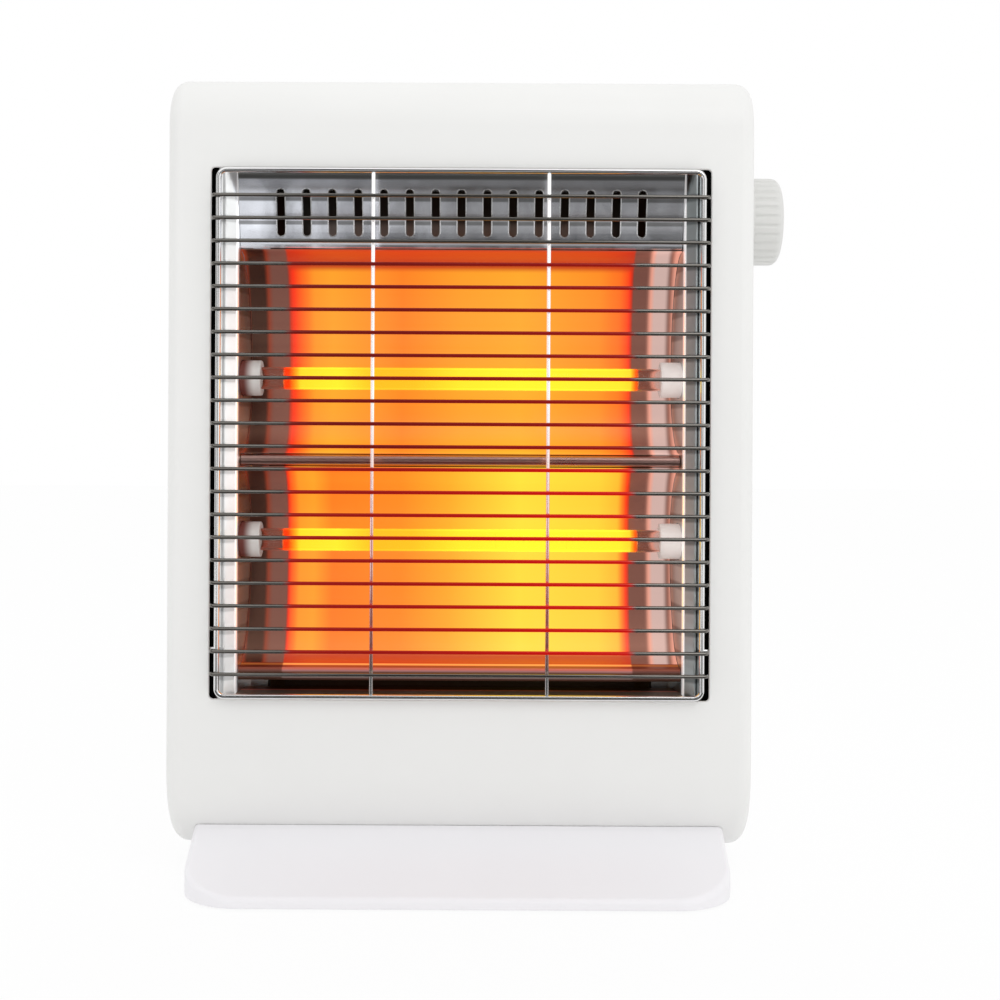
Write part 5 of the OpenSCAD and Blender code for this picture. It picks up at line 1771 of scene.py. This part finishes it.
@dataclass
class Lamps:
    """Two lamps: quartz tube, coiled filament with supports, and a ceramic cap at each end."""

    y: float = LAMP_Y
    heights: dict[str, float] = field(default_factory=lambda: {"upper": UPPER_LAMP, "lower": LOWER_LAMP})
    tube_d: float = 12
    tube_wall: float = 1
    tube_half: float = 111.85
    glow_half: float = 95.05
    coil_d: float = 3
    coil_wire: float = 0.5
    coil_turns: int = 64
    tail_d: float = 1.2
    supports: int = 6
    support_r: float = 4.6
    support_wire_r: float = 0.22
    spoke_d: float = 0.4
    cap_d: float = 19
    cap_in: float = 106.85
    cap_end: float = 125.35
    cap_rings: tuple[float, float] = (1.6, 1.7)
    cap_seat: float = 5.2
    lead_hole_r: float = 0.8
    lead_hole_depth: float = 6
    flange_d: float = 22
    flange: float = 3.5

    def tube(self, name: str, z: float) -> None:
        """Draws the quartz tube with its rounded ends."""
        piece = wire(f"{name}_lamp_quartz", (-self.tube_half, self.y, z), self.tube_d, Axis.X, 40)
        piece.extrude(x=2 * self.tube_half)
        piece.mend()
        piece.thicken(self.tube_wall, -1)
        piece.select_corners(60)
        piece.bevel(0.3, 2)
        piece.complete(
            Palette.quartz, stands_for=[f"{name}_lamp_tube"], sharp=50, level=False, hidden_from=["diffuse"]
        )

    def filament(self, name: str, z: float) -> None:
        """Winds the coil, and adds its tails and support rings."""
        deselect()
        first = spot(-self.glow_half, self.y, z)
        bpy.ops.mesh.primitive_circle_add(
            vertices=6, radius=self.coil_wire / 2 * MM, location=first, rotation=Axis.Y.value
        )
        bpy.ops.object.transform_apply(location=False, rotation=True, scale=True)
        coil = Workpiece(f"{name}_filament_coil", place_in_mesh=False)
        coil.select_all()
        coil.move(z=(self.coil_d - self.coil_wire) / 2)
        coil.refine(
            "SCREW",
            axis="X",
            angle=2 * math.pi,
            screw_offset=2 * self.glow_half / self.coil_turns * MM,
            iterations=self.coil_turns,
            steps=10,
            render_steps=10,
            use_smooth_shade=True,
        )
        bpy.ops.object.transform_apply(location=True, rotation=True, scale=True)
        extras = []
        reach = self.tube_half - 0.5 - self.glow_half
        for side in (-1, 1):
            tail = wire("tail", (side * self.glow_half, self.y, z), self.tail_d, Axis.X, 8)
            tail.extrude(x=side * reach)
            tail.close()
            tail.mend()
            extras.append(tail)
        step = 2 * self.glow_half / (self.supports - 1)
        deselect()
        bpy.ops.mesh.primitive_torus_add(
            major_segments=24,
            minor_segments=6,
            major_radius=self.support_r * MM,
            minor_radius=self.support_wire_r * MM,
            location=first,
            rotation=Axis.X.value,
        )
        rings = Workpiece("supports")
        for turn in (0, 60, 120):
            centre = (-self.glow_half, self.y, z)
            spoke = Workpiece.rod("spoke", centre, self.spoke_d, 2 * self.support_r, Axis.Z, 6)
            spoke.select_all()
            bpy.ops.transform.rotate(value=math.radians(turn), orient_axis="X", center_override=first)
            rings.join(spoke)
        rings.repeat(self.supports, x=step)
        coil.join(rings, *extras)
        coil.complete(
            Palette.hot_wire, stands_for=[f"{name}_filament"], sharp=50, level=False, hidden_from=["diffuse"]
        )

    def cap(self, name: str, side: int, z: float) -> None:
        """Turns one ceramic cap with its flange, step and bore."""
        word = "left" if side < 0 else "right"
        length = self.cap_end - self.cap_in
        middle = side * (self.cap_in + self.cap_end) / 2
        title = f"cap_{name}_{word}_ceramic"
        piece = Workpiece.rod(title, (middle, self.y, z), self.cap_d, length, Axis.X, 48)
        inner = side * self.cap_in
        piece.select(Pick.FACE, lambda c, n: abs(c.x - inner) < 0.1)
        for ring in self.cap_rings:
            piece.inset(ring)
        piece.extrude(x=side * self.cap_seat)
        outer = side * self.cap_end
        piece.select(Pick.FACE, lambda c, n: abs(c.x - outer) < 0.1)
        piece.inset(self.cap_d / 2 - self.lead_hole_r)
        piece.extrude(x=-side * self.lead_hole_depth)
        piece.mend()
        centre = (side * (self.cap_end - self.flange / 2), self.y, z)
        flange = Workpiece.rod("flange", centre, self.flange_d, self.flange, Axis.X, 48)
        bore = Workpiece.rod("bore", (side * self.cap_end, self.y, z), self.cap_d - 0.4, 12, Axis.X, 48)
        flange.combine(bore)
        piece.combine(flange, "UNION")
        piece.select_corners(50)
        piece.bevel(0.7, 3)
        piece.complete(Palette.ceramic, stands_for=[f"cap_{name}_{word}"], sharp=40)

    def build(self) -> None:
        """Builds both lamps with their caps."""
        for name, z in self.heights.items():
            self.tube(name, z)
            self.filament(name, z)
            for side in (-1, 1):
                self.cap(name, side, z)


@dataclass
class Knob:
    """The fluted knob on the right side."""

    y: float = KNOB_Y
    z: float = KNOB_Z
    start: float = 155.6
    length: float = 19.9
    d: float = 48
    rim: float = 5
    flutes: int = 30
    flute_r: float = 1.2
    flute_start: float = 3.5
    flute_run: float = 0.6
    sides_per_flute: int = 8
    wall: float = 2.5
    face_wall: float = 4
    hub_r: float = 6.2
    face_rim: float = 2.2
    face_step: tuple[float, float] = (0.8, 0.5)
    pointer_half: float = 0.7
    pointer_depth: float = 1.0
    pointer_reach: tuple[float, float] = (5, 7.2)

    def groove(self, k: int) -> float:
        """Gives the radius at one of the points of a flute.

        Args:
            k: the point's number, counted from the middle of a land.

        Returns:
            The radius there.
        """
        r = self.d / 2
        off = min(k, self.sides_per_flute - k)
        half_pitch = math.pi * r / self.flutes
        from_groove = half_pitch * (1 - off / (self.sides_per_flute / 2))
        centre = r + self.flute_r * 0.35
        if from_groove >= self.flute_r:
            return r
        return min(r, centre - math.sqrt(self.flute_r**2 - from_groove**2))

    def ring_to(self, piece: Workpiece, x: float, radius: float, fluted: bool, now: dict[int, float]) -> None:
        """Draws the open end on to the next ring.

        Args:
            piece: the knob, with its end loop selected.
            x: how far the next ring is along the axis.
            radius: the next ring's radius on the lands.
            fluted: whether the flutes reach it.
            now: the radius of each kind of point now, which is brought up to date.
        """
        piece.extrude(x=x)
        mesh = bmesh.from_edit_mesh(piece.item.data)
        axis = spot(0, self.y, self.z)
        ends = [v for v in mesh.verts if v.select]
        count = self.sides_per_flute
        kinds: dict[int, list[bmesh.types.BMVert]] = {k: [] for k in range(count)}
        for v in ends:
            angle = math.atan2(v.co.y - axis.y, v.co.z - axis.z) / (2 * math.pi) * self.flutes * count
            kinds[round(angle) % count].append(v)
        for k, points in kinds.items():
            goal = min(radius, self.groove(k)) if fluted else radius
            if abs(goal - now[k]) < 1e-6:
                continue
            bpy.ops.mesh.select_all(action="DESELECT")
            for v in points:
                v.select_set(True)
            bmesh.update_edit_mesh(piece.item.data)
            share = goal / now[k]
            piece.scale(1, share, share, (0, self.y, self.z))
            now[k] = goal
        bpy.ops.mesh.select_all(action="DESELECT")
        for v in ends:
            v.select_set(True)
        mesh.select_flush(True)
        bmesh.update_edit_mesh(piece.item.data)

    def build(self) -> None:
        """Draws the knob ring after ring, closes its face and hollows its back."""
        r = self.d / 2
        count = self.flutes * self.sides_per_flute
        piece = wire("fluted_knob", (self.start, self.y, self.z), self.d, Axis.X, count)
        piece.edit(Pick.POINT)
        now = {k: r for k in range(self.sides_per_flute)}
        shoulder = self.length - self.rim
        self.ring_to(piece, self.flute_start, r, False, now)
        self.ring_to(piece, self.flute_run, r, True, now)
        self.ring_to(piece, shoulder - self.flute_start - self.flute_run, r, True, now)
        at = shoulder
        for i in range(1, 9):
            turn = math.radians(90 * i / 8)
            x = shoulder + self.rim * math.sin(turn)
            self.ring_to(piece, x - at, r - self.rim * (1 - math.cos(turn)), True, now)
            at = x
        piece.close()
        face = self.start + self.length
        piece.select(Pick.FACE, lambda c, n: abs(c.x - face) < 0.01)
        piece.inset(self.face_rim)
        piece.inset(*self.face_step)
        piece.select(Pick.FACE, lambda c, n: abs(c.x - self.start) < 0.05)
        piece.inset(self.wall)
        piece.inset(r - self.wall - self.hub_r)

        def in_hollow(place: Vector, normal: Vector) -> bool:
            """Says whether a back face lies between the hub and the wall."""
            out = math.hypot(place.y - self.y, place.z - self.z)
            return abs(place.x - self.start) < 0.05 and self.hub_r + 0.1 < out < r - self.wall

        piece.select(Pick.FACE, in_hollow)
        piece.extrude(x=self.length - self.face_wall)
        piece.mend(0.0005)
        foot, tip = self.pointer_reach
        groove = Workpiece.block(
            "pointer",
            (face - self.pointer_depth, self.y - self.pointer_half, self.z + foot),
            (face + 2, self.y + self.pointer_half, self.z + r - tip),
        )
        groove.select(Pick.EDGE, lambda c, n: abs(n.x) > 0.9)
        groove.bevel(0.65, 3)
        piece.combine(groove)
        piece.complete(Palette.knob, body="knob", stands_for=["knob"], sharp=38)


class Hardware:
    """The CAD nodes that keep their own shape: each gets its finish."""

    finishes: dict[str, Finish] = {
        "casing_screws": Palette.steel, "base_plate": Palette.steel, "base_plate_screws": Palette.steel,
        "base_screws": Palette.steel, "foot_front_left": Palette.rubber, "foot_front_right": Palette.rubber,
        "foot_rear_left": Palette.rubber, "foot_rear_right": Palette.rubber, "plate_screws": Palette.steel,
        "heat_shield": Palette.shield, "shield_screws": Palette.steel, "clip_upper_left": Palette.steel,
        "clip_upper_right": Palette.steel, "clip_lower_left": Palette.steel,
        "clip_lower_right": Palette.steel,
        "switch_shaft": Palette.steel, "rotary_switch": Palette.dark, "switch_terminals": Palette.brass,
        "switch_bracket": Palette.steel, "bracket_screws": Palette.steel, "thermal_cutout": Palette.dark,
        "terminal_block": Palette.ceramic, "cord_gland": Palette.dark, "tilt_housing": Palette.dark,
        "tilt_cap": Palette.dark, "tilt_plunger": Palette.knob, "tilt_spring": Palette.steel,
        "micro_switch": Palette.dark, "micro_lever": Palette.steel, "micro_pin": Palette.steel,
        "lead_high": Palette.red, "lead_low": Palette.red, "lead_lamp_link": Palette.blue,
        "lead_splice": Palette.steel, "lead_return": Palette.blue, "lead_neutral": Palette.blue,
        "lead_live": Palette.black, "lead_common": Palette.black,
    }

    def dress(self, nodes: Mapping[str, bpy.types.Object]) -> None:
        """Gives each node its finish.

        Args:
            nodes: the CAD nodes by name.
        """
        for name, finish in self.finishes.items():
            node = nodes[name]
            for slot in node.material_slots:
                slot.material = finish.material()
            LOG.info("%s keeps its CAD shape, finish %s", name, finish.name)


# ---------- The studio ----------


@dataclass
class Studio:
    """The floor, the lights, the cards that bright metal mirrors, and the camera."""

    lens: float = 56.46
    camera_x: float = 9.4
    camera_y: float = -859.3
    camera_z: float = 236.3
    shift: tuple[float, float] = (0.0219, -0.0667)
    roll: float = -0.3
    ambient: float = 0.90
    floor_white: float = 0.92

    def camera(self) -> None:
        """Sets the camera up at the photograph's viewing angle."""
        data = bpy.data.cameras.new("camera")
        camera = bpy.data.objects.new("camera", data)
        bpy.context.scene.collection.objects.link(camera)
        data.lens, data.sensor_width = self.lens, 36
        data.shift_x, data.shift_y = self.shift
        data.clip_start, data.clip_end = 0.01, 50
        camera.location = spot(self.camera_x, self.camera_y, self.camera_z)
        camera.rotation_euler = (math.pi / 2, math.radians(self.roll), 0)
        bpy.context.scene.camera = camera

    def world(self) -> None:
        """Makes the world white behind the heater and soft round it."""
        world = bpy.data.worlds.new("studio")
        bpy.context.scene.world = world
        world.use_nodes = True
        tree = world.node_tree
        graph = Graph(tree)
        strength = graph.span(graph.seen(), 0, 1, self.ambient, 1)
        backdrop = tree.nodes["Background"]
        backdrop.inputs["Color"].default_value = (1, 1, 1, 1)
        tree.links.new(strength, backdrop.inputs["Strength"])

    def floor(self) -> None:
        """Lays the pale floor, which keeps a light shadow."""
        deselect()
        bpy.ops.mesh.primitive_plane_add(size=12)
        plane = bpy.context.object
        plane.name = "floor"
        material = bpy.data.materials.new("pale_floor")
        material.use_nodes = True
        graph = Graph(material.node_tree)
        material.node_tree.nodes.clear()
        matt = graph.put("BsdfDiffuse", {"Color": (0.98, 0.98, 0.98, 1)}).outputs[0]
        white = graph.put("Emission", {"Color": (1, 1, 1, 1), "Strength": 1.0}).outputs[0]
        share = graph.times(graph.seen(), self.floor_white)
        both = graph.put("MixShader", {0: share, 1: matt, 2: white}).outputs[0]
        out = graph.put("OutputMaterial")
        material.node_tree.links.new(both, out.inputs[0])
        plane.data.materials.append(material)

    def light(self, name: str, place: Place, aim: Place, size: float, power: float) -> None:
        """Adds a soft area light.

        Args:
            name: its name.
            place: where it hangs, in millimetres.
            aim: where it points.
            size: its width, in millimetres.
            power: its power, in watts.
        """
        data = bpy.data.lights.new(name, "AREA")
        data.shape, data.size, data.energy = "SQUARE", size * MM, power
        lamp = bpy.data.objects.new(name, data)
        bpy.context.scene.collection.objects.link(lamp)
        lamp.location = spot(*place)
        lamp.rotation_euler = (spot(*aim) - spot(*place)).to_track_quat("-Z", "Y").to_euler()

    def card(self, name: str, place: Place, aim: Place, size: tuple[float, float], shade: float) -> None:
        """Stands a card up that only bright metal mirrors.

        Args:
            name: its name.
            place: its middle, in millimetres.
            aim: where it faces.
            size: its width and height.
            shade: its grey.
        """
        deselect()
        bpy.ops.mesh.primitive_plane_add(size=1, location=spot(*place))
        sheet = bpy.context.object
        sheet.name = name
        sheet.rotation_euler = (spot(*aim) - spot(*place)).to_track_quat("Z", "Y").to_euler()
        sheet.scale = (size[0] * MM, size[1] * MM, 1)
        material = bpy.data.materials.new(name)
        material.use_nodes = True
        material.node_tree.nodes.clear()
        graph = Graph(material.node_tree)
        grey = graph.put("Emission", {"Color": (shade, shade, shade, 1), "Strength": 1.0}).outputs[0]
        material.node_tree.links.new(grey, graph.put("OutputMaterial").inputs[0])
        sheet.data.materials.append(material)
        for kind in ("camera", "diffuse", "transmission", "volume_scatter", "shadow"):
            setattr(sheet, f"visible_{kind}", False)

    def build(self) -> None:
        """Builds the studio."""
        scene = bpy.context.scene
        scene.view_settings.view_transform = "Standard"
        self.camera()
        self.world()
        self.floor()
        self.light("key_light", (700, -1300, 1500), (0, 0, 200), 900, 4)
        self.light("top_light", (-200, 200, 1700), (0, 0, 200), 1200, 0.9)
        self.card("front_card", (0, -2200, 1200), (0, 0, 1200), (1100, 2400), 0.04)
        self.card("near_card", (0, -290, 1), (0, -290, 100), (900, 360), 0.05)
        self.card("table_card", (0, -950, 1), (0, -950, 100), (1400, 960), 0.28)
        self.card("left_card", (-1500, -650, 500), (0, 0, 250), (1300, 1500), 0.26)


def main() -> None:
    """Builds the heater and its studio."""
    logging.basicConfig(level=logging.INFO, format="%(name)s: %(message)s")
    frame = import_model()
    Hardware().dress(frame["nodes"])
    casing = Casing()
    casing.front_shell()
    casing.rear_shell()
    Base().build(casing)
    guard = Guard()
    guard.bars()
    guard.frame()
    guard.uprights()
    LampBox().build()
    Lamps().build()
    Knob().build()
    Studio().build()
    deselect()


if __name__ == "__main__":
    main()
